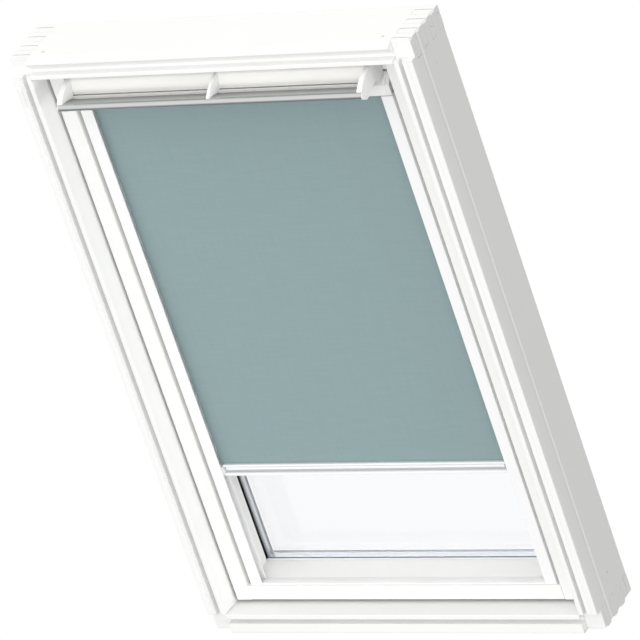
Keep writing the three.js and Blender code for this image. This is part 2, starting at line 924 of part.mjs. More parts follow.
// The flap's outside, from the back of its top round to the foot of its ledge
function flapFrontPoints(grow) {
  return [
    [flapBackAhead, flapTopDrop - grow],
    [flapShoulderAhead + grow, flapTopDrop - grow, flapShoulderRadius],
    [flapBellyAhead + grow, flapBellyDrop, flapBellyRadius],
    [flapFootAhead + grow, flapLedgeDrop - grow],
    [flapLedgeAhead + grow, flapLedgeDrop - grow],
    [flapLedgeAhead + grow, flapLedgeDrop + flapLedgeThickness + grow],
  ];
}

function flapOutline() {
  return [
    ...flapFrontPoints(0),
    [flapFootAhead - flapWall, flapLedgeDrop + flapLedgeThickness],
    [flapFootAhead - flapWall, flapLedgeDrop],
    [flapBellyAhead - flapWall, flapBellyDrop, flapBellyRadius],
    [flapShoulderAhead - flapWall / 2, flapTopDrop + flapWall, flapShoulderRadius],
    [flapBackAhead, flapTopDrop + flapWall],
  ];
}

// A sickle-shaped arm that reaches over the flap and grips the bar
function bracketOutline() {
  return [
    [bracketHeelAhead, bracketHeelTopDrop],
    [bracketBackAhead, bracketTopDrop],
    [bracketShoulderAhead, bracketTopDrop, bracketShoulderRadius],
    [bracketKneeAhead, bracketKneeDrop, bracketShoulderRadius],
    [bracketMouthAhead, bracketMouthDrop, bracketTipRadius],
    [bracketTipAhead, bracketTipDrop, bracketTipRadius],
    [bracketTipAhead - bracketTipWidth, bracketTipDrop, bracketTipRadius],
    [bracketWaistAhead, bracketWaistDrop, bracketWaistRadius],
    [bracketBellyAhead, bracketBellyDrop, bracketWaistRadius],
    [bracketArchAhead, bracketArchDrop, bracketArchRadius],
    [bracketBackAhead, bracketFootDrop],
    [bracketBackAhead, bracketAnkleDrop],
    [bracketHeelAhead, bracketHeelFootDrop],
  ];
}

// The nose of the bar's section, which the caps close
function noseOf(bar) {
  return bar.intersect(block(
    [barCapFromAhead - seatGap, barNoseAhead + cutOverrun],
    [0, bracketTipDrop],
    [-halfWidth, halfWidth],
  ));
}

function makeBarCap(end) {
  const from = barHalfLength + seatGap;
  const cap = prismBetween(barOutline(-seatGap), spanAt(end, from, from + barCapThickness));
  return cap.intersect(block(
    [barCapFromAhead, barNoseAhead + cutOverrun],
    [0, bracketTipDrop],
    [-halfWidth, halfWidth],
  ));
}

function makeEndBracket(end) {
  const bore = pinAlongZ(
    barPinRadius + barPinClearance,
    [barHingeAhead, barHingeDrop],
    spanAt(end, bracketInner - cutOverrun, bracketOuter - barCapThickness),
  );
  return cut(prismBetween(bracketOutline(), spanAt(end, bracketInner, bracketOuter)), [
    bore,
    prism(barOutline(seatGap), 2 * (barHalfLength + seatGap)),
    noseOf(prism(barOutline(0), windowWidth)),
  ]);
}

// The middle arm stops against the flap and has no hinge of its own
function makeMiddleBracket() {
  const foot = bracketTipDrop + cutOverrun;
  const behindFlap = [
    ...flapFrontPoints(seatGap),
    [flapLedgeAhead, foot],
    [bracketHeelAhead - cutOverrun, foot],
    [bracketHeelAhead - cutOverrun, flapTopDrop - seatGap],
  ];
  return cut(prism(bracketOutline(), middleBracketThickness), [
    prism(behindFlap, windowWidth),
    block(
      [-cutOverrun, barNoseAhead + cutOverrun],
      [barTailDrop, foot],
      [-middleBracketThickness, middleBracketThickness],
    ),
    prism(barOutline(seatGap), windowWidth),
  ]);
}

// A plate on the top rail with the pin that an end bracket turns on
function makeBarHinge(end) {
  const outer = bracketInner - seatGap;
  const inner = outer - barHingePlateThickness;
  const top = barHingeDrop - barHingePlateRise;
  const foot = barHingeDrop + barHingeRadius;
  const plate = prismBetween([
    [seatGap, top],
    [barHingePlateAhead / 2, top],
    [barHingePlateAhead, barHingeDrop - barHingeRadius],
    [barHingePlateAhead, foot, barHingeRadius],
    [seatGap, foot],
  ], spanAt(end, inner, outer));
  const pinSpan = spanAt(end, inner, bracketOuter - barCapThickness - seatGap);
  return join([plate, pinAlongZ(barPinRadius, [barHingeAhead, barHingeDrop], pinSpan)]);
}

// Roller blind

function boxOutline(wall) {
  const radius = boxRadius - wall;
  const slope = boxSlopeReach + wall * (Math.SQRT2 - 1);
  return [
    [boxFront + wall, boxBottom + wall, radius],
    [boxBack - wall, boxBottom + wall, radius],
    [boxBack - wall, boxTop - wall, radius],
    [boxFront + slope, boxTop - wall],
    [boxFront + wall, boxTop - slope],
  ];
}

function makeBox() {
  const length = 2 * boxHalfLength;
  return cut(prism(boxOutline(0), length), [
    prism(boxOutline(boxWall), length + cutOverrun),
    block(
      [clothSetBack - boxSlotWidth / 2, clothSetBack + boxSlotWidth / 2],
      [boxBottom - cutOverrun, boxBottom + 2 * boxWall],
      [-length, length],
    ),
  ]);
}

function makeEndCap(end) {
  const inner = boxHalfLength + seatGap;
  const outer = inner + endCapThickness;
  const span = spanAt(end, inner, blindHalfWidth);
  const flange = cut(prismBetween(boxOutline(0), span), [
    prism(boxOutline(endCapFlange), windowWidth),
    block([boxFront + boxSlopeReach, boxBack], [boxBottom, boxTop], [-halfWidth, halfWidth]),
  ]);
  const stub = pinAlongZ(stubRadius, rollerCentre, spanAt(end, inner - stubLength, outer));
  return join([prismBetween(boxOutline(0), spanAt(end, inner, outer)), flange, stub]);
}

// A round tube on the roller's axis
function makeSleeve(outerRadius, innerRadius, half) {
  const past = half + cutOverrun;
  return cut(pinAlongZ(outerRadius, rollerCentre, [-half, half]), [
    pinAlongZ(innerRadius, rollerCentre, [-past, past]),
  ]);
}

// A flanged plug in the tube's end, with the bore that turns on the end cap's stub
function makePlug(end) {
  const face = tubeHalfLength + seatGap;
  const outer = face + plugFlange;
  const coreRadius = tubeRadius - tubeWall - seatGap;
  const boreRadius = stubRadius + stubClearance;
  const core = pinAlongZ(coreRadius, rollerCentre, spanAt(end, face - plugDepth, outer));
  const flange = pinAlongZ(tubeRadius, rollerCentre, spanAt(end, face, outer));
  const bore = pinAlongZ(boreRadius, rollerCentre, spanAt(end, face - plugDepth / 2, outer + cutOverrun));
  return cut(join([core, flange]), [bore]);
}

// A channel that is open towards the middle of the window
function makeSideRail() {
  const bottom = sashShelf + seatGap;
  const top = boxBottom - seatGap;
  return prism([
    [0, blindSetBack, railEdgeRadius],
    [railFrontWidth, blindSetBack, railEdgeRadius],
    [railFrontWidth, blindSetBack + railFlange, railEdgeRadius],
    [railWeb, blindSetBack + railFlange],
    [railWeb, railBack - railFlange],
    [railBackWidth, railBack - railFlange],
    [railBackWidth, railBack],
    [0, railBack],
  ], top - bottom);
}

function makeCloth() {
  return block(
    [clothSetBack - clothThickness / 2, clothSetBack + clothThickness / 2],
    [bottomBarTop - clothSlotDepth + seatGap, rollerHeight],
    [-clothHalfWidth, clothHalfWidth],
  );
}

// The slot that takes the cloth's lower edge
function clothSlot() {
  return block(
    [clothSetBack - clothSlotHalf, clothSetBack + clothSlotHalf],
    [bottomBarTop - clothSlotDepth, bottomBarTop + cutOverrun],
    [-halfWidth, halfWidth],
  );
}

// The bottom bar's section: a lip, a line, a band, a cove and a lip to pull it by
function bottomBarOutline() {
  const lipFoot = bottomBarTop - topLipTall;
  const bandTop = lipFoot - barLineTall;
  const bandFoot = bandTop - barBandTall;
  const coveFoot = bottomBarHeight + pullLipTall;
  const back = blindSetBack + bottomBarDepth;
  const bandFront = blindSetBack + barBandDepth;
  const coveBack = blindSetBack + barCoveDepth;
  return [
    [back, bottomBarTop, bandEdgeRadius],
    [blindSetBack + topLipDepth, bottomBarTop, railEdgeRadius],
    [blindSetBack + topLipDepth, lipFoot],
    [bandFront + barLineDepth, lipFoot],
    [bandFront + barLineDepth, bandTop],
    [bandFront, bandTop],
    [bandFront, bandFoot],
    [coveBack, coveFoot + barCoveTall],
    [coveBack, coveFoot],
    [blindSetBack + pullLipDepth, coveFoot, railEdgeRadius],
    [blindSetBack + pullLipDepth, bottomBarHeight, bandEdgeRadius],
    [back, bottomBarHeight, bandEdgeRadius],
  ];
}

function makeBottomBar() {
  const bandTop = bottomBarTop - topLipTall - barLineTall;
  const notches = [-1, 1].map((end) => block(
    [blindSetBack, blindSetBack + barCoveDepth],
    [bottomBarHeight + pullLipTall, bandTop],
    spanAt(end, bottomBarHalfLength - bandEndNotch, bottomBarHalfLength + cutOverrun),
  ));
  return cut(prism(bottomBarOutline(), 2 * bottomBarHalfLength), [clothSlot(), ...notches]);
}

// A block that runs in the side rail's channel and carries the end of the bottom bar
function makeSlider(end) {
  const span = spanAt(end, bottomBarHalfLength + seatGap, blindHalfWidth - railWeb - sliderClearance);
  const front = blindSetBack + railFlange + sliderClearance;
  const back = railBack - railFlange - sliderClearance;
  const foot = bottomBarHeight + (bottomBarTall - sliderTall) / 2;
  return cut(prismBetween([
    [front, foot, bandEdgeRadius],
    [back, foot, bandEdgeRadius],
    [back, foot + sliderTall, bandEdgeRadius],
    [front, foot + sliderTall, bandEdgeRadius],
  ], span), [clothSlot()]);
}

function makeLandingStrip() {
  const foot = sashShelf + seatGap;
  const inner = blindHalfWidth - railFrontWidth - seatGap;
  return prism([
    [blindSetBack, foot],
    [blindSetBack + landingStripDepth, foot],
    [blindSetBack + landingStripDepth, foot + landingStripTall, landingStripTall],
    [blindSetBack, foot + landingStripTall, landingStripTall],
  ], 2 * inner);
}

// A bent strip that holds the box up to the top rail
function makeBoxClip(end) {
  const outer = boxHalfLength - clipFromEnd + clipWidth / 2;
  const top = sashTop - stileFace - seatGap;
  const foot = boxTop + seatGap;
  const front = boxFront + boxSlopeReach;
  const back = front + clipDepth;
  return prismBetween([
    [front, top],
    [back, top],
    [back, top - clipWall],
    [front + clipWall, top - clipWall],
    [front + clipWall, foot + clipWall],
    [back, foot + clipWall],
    [back, foot],
    [front, foot],
  ], spanAt(end, outer - clipWidth, outer));
}

// Assembly

const roofWindow = new THREE.Group();
const frame = new THREE.Group();
const sash = new THREE.Group();
const blind = new THREE.Group();
roofWindow.add(frame, sash, blind);

const sealEndGap = sealWidth + seatGap;
const acrossSeal = windowWidth - 2 * jambThickness - 2 * sealEndGap;
const uprightSeal = windowHeight - headThickness - sillThickness - 2 * sealEndGap;
const headSeal = makeSeal(headThickness, sashTopGap - topSealGap, acrossSeal);
const sillSeal = makeSeal(sillThickness, sashBottomGap - bottomSealGap, acrossSeal);

addPiece(frameSide('top'), 'head_member', makeHead(), whitePaint);
addPiece(frameSide('top'), 'head_seal', headSeal, darkRubber);
addPiece(frameSide('bottom'), 'sill_member', makeSill(), whitePaint);
addPiece(frameSide('bottom'), 'sill_seal', sillSeal, darkRubber);
for (const [side, up] of [['left', 1], ['right', -1]]) {
  const group = frameSide(side);
  const seal = makeSeal(jambThickness, sashSideGap - sideSealGap, uprightSeal);
  const sealRise = (sillThickness - headThickness) / 2;
  addPiece(group, `${side}_jamb`, makeJamb(side), whitePaint);
  addPiece(group, `${side}_seal`, seal, darkRubber).position.z = up * sealRise;
  addPiece(group, `${side}_frame_hinge`, makeFrameHinge(), zincSteel).position.z = up * pivotRise;
}
addPiece(acrossGroup(frame), 'keeper_plate', makeKeeper(), zincSteel);

for (const side of ['left', 'right']) {
  const group = sashSide(side);
  addPiece(group, `${side}_stile`, makeStile(), warmWhitePaint);
  addPiece(group, `${side}_sash_hinge`, makeSashHinge(), zincSteel);
  addPiece(group, `${side}_cover`, makeCover(2 * sashHalfHeight), greyLacquer);
}
addPiece(sashSide('bottom'), 'sash_bottom_rail', makeRail(), warmWhitePaint);
addPiece(sashSide('bottom'), 'bottom_cover', makeCover(2 * sashHalfWidth), greyLacquer);
const topRail = cut(makeRail(), [latchPocket(), heelRecess(-1), heelRecess(1)]);
addPiece(sashSide('top'), 'sash_top_rail', topRail, warmWhitePaint);
addPiece(sashSide('top'), 'top_cover', makeCover(2 * sashHalfWidth), greyLacquer);

for (const [name, setBack] of [['inner_pane', innerPaneSetBack], ['outer_pane', outerPaneSetBack]]) {
  addPiece(sash, name, makePane(), clearGlass).position.set(0, setBack - frameDepth / 2, sashMiddle);
}
const spacerInner = stileSight + spacerShow;
const spacerDepths = [spacerSetBack + seatGap, outerPaneSetBack - seatGap];
addEdgeBars('spacer', spacerInner - spacerWidth, spacerInner, spacerDepths, anodised);
const gasketInner = Math.min(stileSight, stileFace + railLean) - seatGap;
const gasketDepths = [rebateFloor + seatGap, innerPaneSetBack - seatGap];
addEdgeBars('gasket', gasketInner - gasketWidth, gasketInner, gasketDepths, darkRubber);

const latch = acrossGroup(sash);
addPiece(latch, 'latch_case', makeLatchCase(), zincSteel);
addPiece(latch, 'latch_tongue', makeTongue(), zincSteel);

const bar = aheadGroup(sash);
addPiece(bar, 'control_bar', prism(barOutline(0), 2 * barHalfLength), anodised);
addPiece(bar, 'vent_flap', prism(flapOutline(), 2 * (bracketInner - seatGap)), warmWhitePaint);
addPiece(bar, 'middle_bracket', makeMiddleBracket(), whitePlastic);

const roller = acrossGroup(blind);
const tube = makeSleeve(tubeRadius, tubeRadius - tubeWall, tubeHalfLength);
const woundCloth = makeSleeve(woundClothRadius, tubeRadius + seatGap, clothHalfWidth);
addPiece(roller, 'blind_box', makeBox(), whiteLacquer);
addPiece(roller, 'roller_tube', tube, zincSteel);
addPiece(roller, 'wound_cloth', woundCloth, blindCloth);
addPiece(roller, 'blind_cloth', makeCloth(), blindCloth);
addPiece(roller, 'bottom_bar', makeBottomBar(), whiteLacquer);
addPiece(roller, 'landing_strip', makeLandingStrip(), whiteLacquer);

for (const [side, end] of [['left', -1], ['right', 1]]) {
  addPiece(bar, `${side}_bar_cap`, makeBarCap(end), whitePlastic);
  addPiece(bar, `${side}_bracket`, makeEndBracket(end), whitePlastic);
  addPiece(bar, `${side}_bar_hinge`, makeBarHinge(end), zincSteel);
  addPiece(roller, `${side}_end_cap`, makeEndCap(end), whitePlastic);
  addPiece(roller, `${side}_tube_plug`, makePlug(end), whitePlastic);
  addPiece(roller, `${side}_slider`, makeSlider(end), whitePlastic);
  addPiece(roller, `${side}_box_clip`, makeBoxClip(end), zincSteel);
  const railGroup = sideGroup(blind, side, blindHalfWidth, halfHeight, (sashShelf + boxBottom) / 2);
  addPiece(railGroup, `${side}_side_rail`, makeSideRail(), whiteLacquer);
}

export default roofWindow;
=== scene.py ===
import json
import math

import bmesh
import bpy
from bpy.props import FloatProperty, FloatVectorProperty, IntProperty, PointerProperty
from mathutils import Matrix, Vector


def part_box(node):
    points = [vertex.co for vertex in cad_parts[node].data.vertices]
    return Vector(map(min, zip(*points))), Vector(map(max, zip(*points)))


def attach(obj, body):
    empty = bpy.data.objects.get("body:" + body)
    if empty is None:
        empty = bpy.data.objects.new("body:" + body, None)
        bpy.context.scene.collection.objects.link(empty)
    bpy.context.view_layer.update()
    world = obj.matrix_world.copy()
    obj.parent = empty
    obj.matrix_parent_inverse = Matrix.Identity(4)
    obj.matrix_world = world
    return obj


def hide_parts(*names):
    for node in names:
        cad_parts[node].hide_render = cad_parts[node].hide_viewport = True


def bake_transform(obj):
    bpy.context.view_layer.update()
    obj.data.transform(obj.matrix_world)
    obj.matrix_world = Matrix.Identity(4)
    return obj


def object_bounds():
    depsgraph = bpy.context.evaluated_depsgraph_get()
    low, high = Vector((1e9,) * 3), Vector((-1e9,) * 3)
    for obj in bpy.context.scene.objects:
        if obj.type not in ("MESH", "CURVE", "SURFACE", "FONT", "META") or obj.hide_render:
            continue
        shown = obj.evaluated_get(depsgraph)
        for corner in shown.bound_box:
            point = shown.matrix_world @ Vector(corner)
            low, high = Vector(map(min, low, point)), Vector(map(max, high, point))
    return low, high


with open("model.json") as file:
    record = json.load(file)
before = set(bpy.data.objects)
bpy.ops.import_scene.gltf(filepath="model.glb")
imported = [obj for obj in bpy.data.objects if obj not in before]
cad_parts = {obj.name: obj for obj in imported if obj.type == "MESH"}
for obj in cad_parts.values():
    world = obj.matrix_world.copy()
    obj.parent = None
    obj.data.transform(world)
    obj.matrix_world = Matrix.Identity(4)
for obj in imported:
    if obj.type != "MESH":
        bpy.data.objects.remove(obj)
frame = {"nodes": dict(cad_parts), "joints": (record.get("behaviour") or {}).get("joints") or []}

# The looks of a centre-pivot roof window with a roller blind. Metres, X across the
# window, Y from the room towards the sky, Z up the window.

bl_info = {
    "name": "Roof window with roller blind",
    "version": (1, 0, 0),
    "blender": (4, 5, 0),
    "location": "3D View > Sidebar > Roof Window",
    "description": "Finishes, fasteners, cloth and studio for a centre-pivot roof window",
    "category": "Object",
}

CAD_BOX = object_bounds()
JOINTS = {joint["name"]: joint for joint in frame["joints"]}
MM = 0.001
# The painted shade on the glazing's upright spacers fades over this depth
PAINTED_SHADE_DEPTH = 9 * MM

# Where a mix node takes its share and its two colours or two numbers, and gives its
# mixed colour; what makes it mix colours; and where a random value node takes its limits
# and gives its number
SHARE, FIRST, SECOND, MIXED = 0, 6, 7, 2
FIRST_NUMBER, SECOND_NUMBER = 2, 3
COLOURED = {"data_type": "RGBA"}
LEAST, MOST, DRAWN = 2, 3, 1


# Small helpers

def linear(hex_colour):
    """An sRGB hex colour as linear red, green, blue and alpha."""
    channels = [int(hex_colour[i:i + 2], 16) / 255 for i in (1, 3, 5)]
    curve = [c / 12.92 if c <= 0.04045 else ((c + 0.055) / 1.055) ** 2.4 for c in channels]
    return (*curve, 1.0)


def shaded(colour, share):
    """A colour with that share of its light."""
    return (*(share * channel for channel in colour[:3]), 1.0)


def per_metre(*millimetres):
    """How many features of these sizes fit in a metre, which is a pattern's scale."""
    counts = tuple(1000 / size for size in millimetres)
    return counts if len(counts) > 1 else counts[0]


def first_output(source):
    """A node's first output, or what was given if it isn't a node."""
    return source.outputs[0] if isinstance(source, bpy.types.Node) else source


def add_node(tree, kind, settings, inputs):
    """Adds a node, makes its settings, and sets or links its inputs."""
    node = tree.nodes.new(kind)
    for name, value in settings.items():
        setattr(node, name, value)
    for key, value in inputs.items():
        source = first_output(value)
        if isinstance(source, bpy.types.NodeSocket):
            tree.links.new(source, node.inputs[key])
        else:
            node.inputs[key].default_value = source
    return node


def start_material(name, **constants):
    """A node material with its constants set, its tree, and the place on the object."""
    material = bpy.data.materials.new(name)
    material.use_nodes = True
    tree = material.node_tree
    shader = tree.nodes["Principled BSDF"]
    for key, value in constants.items():
        shader.inputs[key.replace("_", " ")].default_value = value
    place = add_node(tree, "ShaderNodeTexCoord", {}, {}).outputs["Object"]
    return material, tree, place


def long_grain(tree, place, sizes, detail, distortion=0.0):
    """Noise whose features have these sizes, in millimetres, along X, Y and Z."""
    drawn_out = add_node(tree, "ShaderNodeMapping", {}, {"Vector": place, "Scale": per_metre(*sizes)})
    return add_node(tree, "ShaderNodeTexNoise", {}, {
        "Vector": drawn_out, "Scale": 1.0, "Detail": detail, "Distortion": distortion,
    })


def mottled(tree, pattern, tones, roughness):
    """A tone and a roughness that drift together with one pattern."""
    tone = add_node(tree, "ShaderNodeMix", COLOURED, {
        SHARE: pattern, FIRST: tones[0], SECOND: tones[1],
    })
    gloss = add_node(tree, "ShaderNodeMapRange", {}, {
        "Value": pattern, "To Min": roughness[0], "To Max": roughness[1],
    })
    return tone.outputs[MIXED], gloss


def greyed(tree, place, tone, grey, clear, full):
    """A tone that turns to a grey of painted shade from one depth, a Y, to another."""
    depth = add_node(tree, "ShaderNodeSeparateXYZ", {}, {0: place})
    painted_shade_share = add_node(tree, "ShaderNodeMapRange", {}, {
        "Value": depth.outputs["Y"], "From Min": clear, "From Max": full,
    })
    mix = add_node(tree, "ShaderNodeMix", COLOURED, {SHARE: painted_shade_share, FIRST: tone, SECOND: linear(grey)})
    return mix.outputs[MIXED]


def eased_relief(tree, height, depth, edge):
    """A surface with a fine relief on it, and its edges eased to a radius."""
    edges = add_node(tree, "ShaderNodeBevel", {"samples": 4}, {"Radius": edge})
    return add_node(tree, "ShaderNodeBump", {}, {
        "Height": height, "Distance": depth, "Normal": edges,
    })


def finish(material, colour, surface, gloss=None):
    """Links a material's colour, its surface and, where it varies, its roughness."""
    tree = material.node_tree
    shader = tree.nodes["Principled BSDF"]
    for key, source in (("Base Color", colour), ("Normal", surface), ("Roughness", gloss)):
        if source is not None:
            tree.links.new(first_output(source), shader.inputs[key])
    return material


def carry(piece, body):
    """Sets a new piece on its body."""
    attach(piece, body)
    return piece


def coat(material, *nodes):
    """Gives CAD nodes their material."""
    for name in nodes:
        for holder in frame["nodes"][name].material_slots:
            holder.material = material


def new_piece(name, vertices, faces, material):
    """A closed mesh with its faces pointing out."""
    mesh = bpy.data.meshes.new(name)
    mesh.from_pydata(vertices, [], faces)
    shape = bmesh.new()
    shape.from_mesh(mesh)
    bmesh.ops.recalc_face_normals(shape, faces=shape.faces)
    shape.to_mesh(mesh)
    shape.free()
    mesh.materials.append(material)
    piece = bpy.data.objects.new(name, mesh)
    bpy.context.scene.collection.objects.link(piece)
    return piece


def ring_piece(name, low, high, section, material):
    """A closed ring round a rectangle in the window's plane. Its section is a list of
    (inset from the rectangle, Y)."""
    count = len(section)
    vertices = []
    for x, z, across, up in (
        (low[0], low[1], 1, 1),
        (high[0], low[1], -1, 1),
        (high[0], high[1], -1, -1),
        (low[0], high[1], 1, -1),
    ):
        vertices += [(x + across * inset, y, z + up * inset) for inset, y in section]
    faces = []
    for side in range(4):
        here, there = side * count, (side + 1) % 4 * count
        for i in range(count):
            j = (i + 1) % count
            faces.append((here + i, here + j, there + j, there + i))
    return new_piece(name, vertices, faces, material)


def bar_along_x(name, x_span, section, material):
    """A closed bar along X. Its section is a list of (Y, Z)."""
    count = len(section)
    vertices = [(x, y, z) for x in x_span for y, z in section]
    sides = [(i, (i + 1) % count, count + (i + 1) % count, count + i) for i in range(count)]
    ends = [tuple(range(count)), tuple(range(count, 2 * count))]
    return new_piece(name, vertices, sides + ends, material)


# Materials. Each is named for what it is and how its surface is made.

def sprayed_paint_on_pine(name, colour, along):
    """Waterborne paint sprayed on pine: satin, with the grain's long ripples and a fine
    orange peel just showing through, and edges that the sander has softened."""
    material, tree, place = start_material(name, Specular_IOR_Level=0.45, Coat_Roughness=0.3)
    # Growth rings of 2.4 mm that run about 70 mm before they wander
    grain_size = (70, 2.4, 2.4) if along == "X" else (2.4, 2.4, 70)
    grain = long_grain(tree, place, grain_size, detail=3.0, distortion=0.4)
    # Orange peel of 1.6 mm
    peel = add_node(tree, "ShaderNodeTexNoise", {}, {
        "Vector": place, "Scale": per_metre(1.6), "Detail": 1.0,
    })
    # Patches of 90 mm where the coat lies a little thicker
    patches = add_node(tree, "ShaderNodeTexNoise", {}, {
        "Vector": place, "Scale": per_metre(90), "Detail": 2.0,
    })
    tone, gloss = mottled(tree, patches, (colour, shaded(colour, 0.965)), roughness=(0.4, 0.52))
    faint = add_node(tree, "ShaderNodeMapRange", {}, {
        "Value": grain, "To Min": 0.0, "To Max": 0.05,
    })
    tinted = add_node(tree, "ShaderNodeMix", COLOURED, {
        SHARE: faint, FIRST: tone, SECOND: linear("#D9D5C8"),
    })
    ripples = eased_relief(tree, grain, depth=0.03 * MM, edge=0.7 * MM)
    surface = add_node(tree, "ShaderNodeBump", {}, {
        "Height": peel, "Distance": 0.008 * MM, "Normal": ripples,
    })
    return finish(material, tinted.outputs[MIXED], surface, gloss)


def extruded_rubber(name, along, body, bloomed):
    """Extruded EPDM: matt, with the die's fine lines along it and a bloom that pales it
    in patches."""
    material, tree, place = start_material(name, Specular_IOR_Level=0.3)
    # Die lines 0.6 mm apart
    line_size = (120, 0.6, 0.6) if along == "X" else (0.6, 0.6, 120)
    lines = long_grain(tree, place, line_size, detail=2.0)
    # Bloom in patches of 25 mm
    bloom = add_node(tree, "ShaderNodeTexNoise", {}, {
        "Vector": place, "Scale": per_metre(25), "Detail": 4.0,
    })
    tone, gloss = mottled(tree, bloom, (linear(body), linear(bloomed)), roughness=(0.62, 0.85))
    surface = add_node(tree, "ShaderNodeBump", {}, {"Height": lines, "Distance": 0.04 * MM})
    return finish(material, tone, surface, gloss)


def zinc_plated_steel():
    """Pressed steel, zinc plated and passivated: a cool grey metal with a faint straw
    tint in places and a mottled sheen."""
    material, tree, place = start_material("Zinc-plated pressed steel", Metallic=1.0)
    # Plating crystals of 1.5 mm
    crystals = add_node(tree, "ShaderNodeTexVoronoi", {}, {
        "Vector": place, "Scale": per_metre(1.5), "Randomness": 1.0,
    })
    # Tint in patches of 12 mm
    patches = add_node(tree, "ShaderNodeTexNoise", {}, {
        "Vector": place, "Scale": per_metre(12), "Detail": 3.0,
    })
    tone = add_node(tree, "ShaderNodeMix", COLOURED, {
        SHARE: patches, FIRST: linear("#C3C6C8"), SECOND: linear("#BDB8A6"),
    })
    gloss = add_node(tree, "ShaderNodeMapRange", {}, {
        "Value": crystals.outputs["Distance"], "To Min": 0.28, "To Max": 0.46,
    })
    surface = eased_relief(tree, crystals.outputs["Distance"], depth=0.006 * MM, edge=0.3 * MM)
    return finish(material, tone.outputs[MIXED], surface, gloss)


def coil_coated_aluminium():
    """Roll-formed aluminium, coil coated in dark grey: matt, with a fine leathery grain
    and dust that has dried in soft patches."""
    material, tree, place = start_material("Coil-coated grey aluminium", Specular_IOR_Level=0.5)
    # Coating grain of 0.9 mm
    grain = add_node(tree, "ShaderNodeTexNoise", {}, {
        "Vector": place, "Scale": per_metre(0.9), "Detail": 2.0,
    })
    # Dust in patches of 60 mm
    dust = add_node(tree, "ShaderNodeTexNoise", {}, {
        "Vector": place, "Scale": per_metre(60), "Detail": 5.0, "Roughness": 0.6,
    })
    tones = (linear("#52565A"), linear("#666A6D"))
    tone, gloss = mottled(tree, dust, tones, roughness=(0.38, 0.6))
    surface = eased_relief(tree, grain, depth=0.015 * MM, edge=0.5 * MM)
    return finish(material, tone, surface, gloss)


def float_glass():
    """Low-iron float glass: colourless, flat but for a long draw wave."""
    material, tree, place = start_material(
        "Clear float glass", Transmission_Weight=1.0, IOR=1.5, Roughness=0.0,
    )
    # Draw waves 180 mm long across the ribbon
    waves = long_grain(tree, place, (180, 180, 600), detail=1.0)
    tint = add_node(tree, "ShaderNodeMix", COLOURED, {
        SHARE: waves, FIRST: linear("#FFFFFF"), SECOND: linear("#FCFDFF"),
    })
    surface = add_node(tree, "ShaderNodeBump", {}, {"Height": waves, "Distance": 0.01 * MM})
    return finish(material, tint.outputs[MIXED], surface)


def spacer_aluminium(name, painted_shade_end, mill, worn):
    """Rolled aluminium strip, left as it came from the mill: pale, slightly blue, with
    fine rolling lines. Painted shade darkens it towards the room-side pane and fades
    out by the given depth."""
    material, tree, place = start_material(name, Metallic=0.85)
    # Rolling lines 0.5 mm apart in depth, unbroken along the strip
    lines = long_grain(tree, place, (80, 0.5, 80), detail=2.0)
    tone, gloss = mottled(tree, lines, (linear(mill), linear(worn)), roughness=(0.3, 0.45))
    # Painted shade: darkest at the room side, clear from the given depth on
    painted_shade_tone = greyed(tree, place, tone, "#2E3032", clear=painted_shade_end, full=painted_shade_end - PAINTED_SHADE_DEPTH)
    surface = add_node(tree, "ShaderNodeBump", {}, {"Height": lines, "Distance": 0.008 * MM})
    return finish(material, painted_shade_tone, surface, gloss)


def anodised_aluminium(nose, tail):
    """Extruded aluminium, brushed along its length and clear anodised: a soft silver
    whose highlight runs as a line along the bar. Nose and tail are the bar's two Y."""
    material, tree, place = start_material("Clear-anodised brushed aluminium", Metallic=1.0)
    # Brush marks 0.35 mm wide and about 45 mm long
    brushing = long_grain(tree, place, (45, 0.35, 0.35), detail=4.0)
    tones = (linear("#C6C8C8"), linear("#D8DADA"))
    tone, gloss = mottled(tree, brushing, tones, roughness=(0.24, 0.4))
    # Painted shade: the bar turns grey towards its tail, in the hollow by the flap, and clears towards
    # its nose
    painted_shade_tone = greyed(tree, place, tone, "#7C7F7F", clear=nose, full=tail)
    surface = eased_relief(tree, brushing, depth=0.006 * MM, edge=0.6 * MM)
    return finish(material, painted_shade_tone, surface, gloss)


def powder_coat(name, colour, roughness, edge, hollows=None):
    """Extruded aluminium, powder coated: even, silky, with the coat's own soft pebble.
    Hollows are the Y where a bar's hollows begin and end, which painted shade greys."""
    material, tree, place = start_material(name, Specular_IOR_Level=0.5)
    # Pebble of 1.1 mm
    pebble = add_node(tree, "ShaderNodeTexNoise", {}, {
        "Vector": place, "Scale": per_metre(1.1), "Detail": 1.0,
    })
    # Gloss drifts over 70 mm
    drift = add_node(tree, "ShaderNodeTexNoise", {}, {
        "Vector": place, "Scale": per_metre(70), "Detail": 2.0,
    })
    tone, gloss = mottled(tree, drift, (colour, shaded(colour, 0.97)), roughness)
    # Painted shade in the bar's hollows
    if hollows:
        tone = greyed(tree, place, tone, "#C4C7C9", clear=hollows[0], full=hollows[1])
    surface = eased_relief(tree, pebble, 0.006 * MM, edge)
    return finish(material, tone, surface, gloss)


def moulded_plastic(colour):
    """Injection-moulded ASA: dense white with a fine spark-eroded texture and a faint
    waxy depth."""
    material, tree, place = start_material("Moulded white ASA", IOR=1.5)
    # Spark texture of 0.5 mm
    spark = add_node(tree, "ShaderNodeTexNoise", {}, {
        "Vector": place, "Scale": per_metre(0.5), "Detail": 2.0,
    })
    # Flow in the mould, 30 mm
    flow = add_node(tree, "ShaderNodeTexNoise", {}, {
        "Vector": place, "Scale": per_metre(30), "Detail": 2.0, "Distortion": 0.8,
    })
    tone, gloss = mottled(tree, flow, (colour, shaded(colour, 0.96)), roughness=(0.34, 0.46))
    surface = eased_relief(tree, spark, depth=0.008 * MM, edge=0.6 * MM)
    return finish(material, tone, surface, gloss)


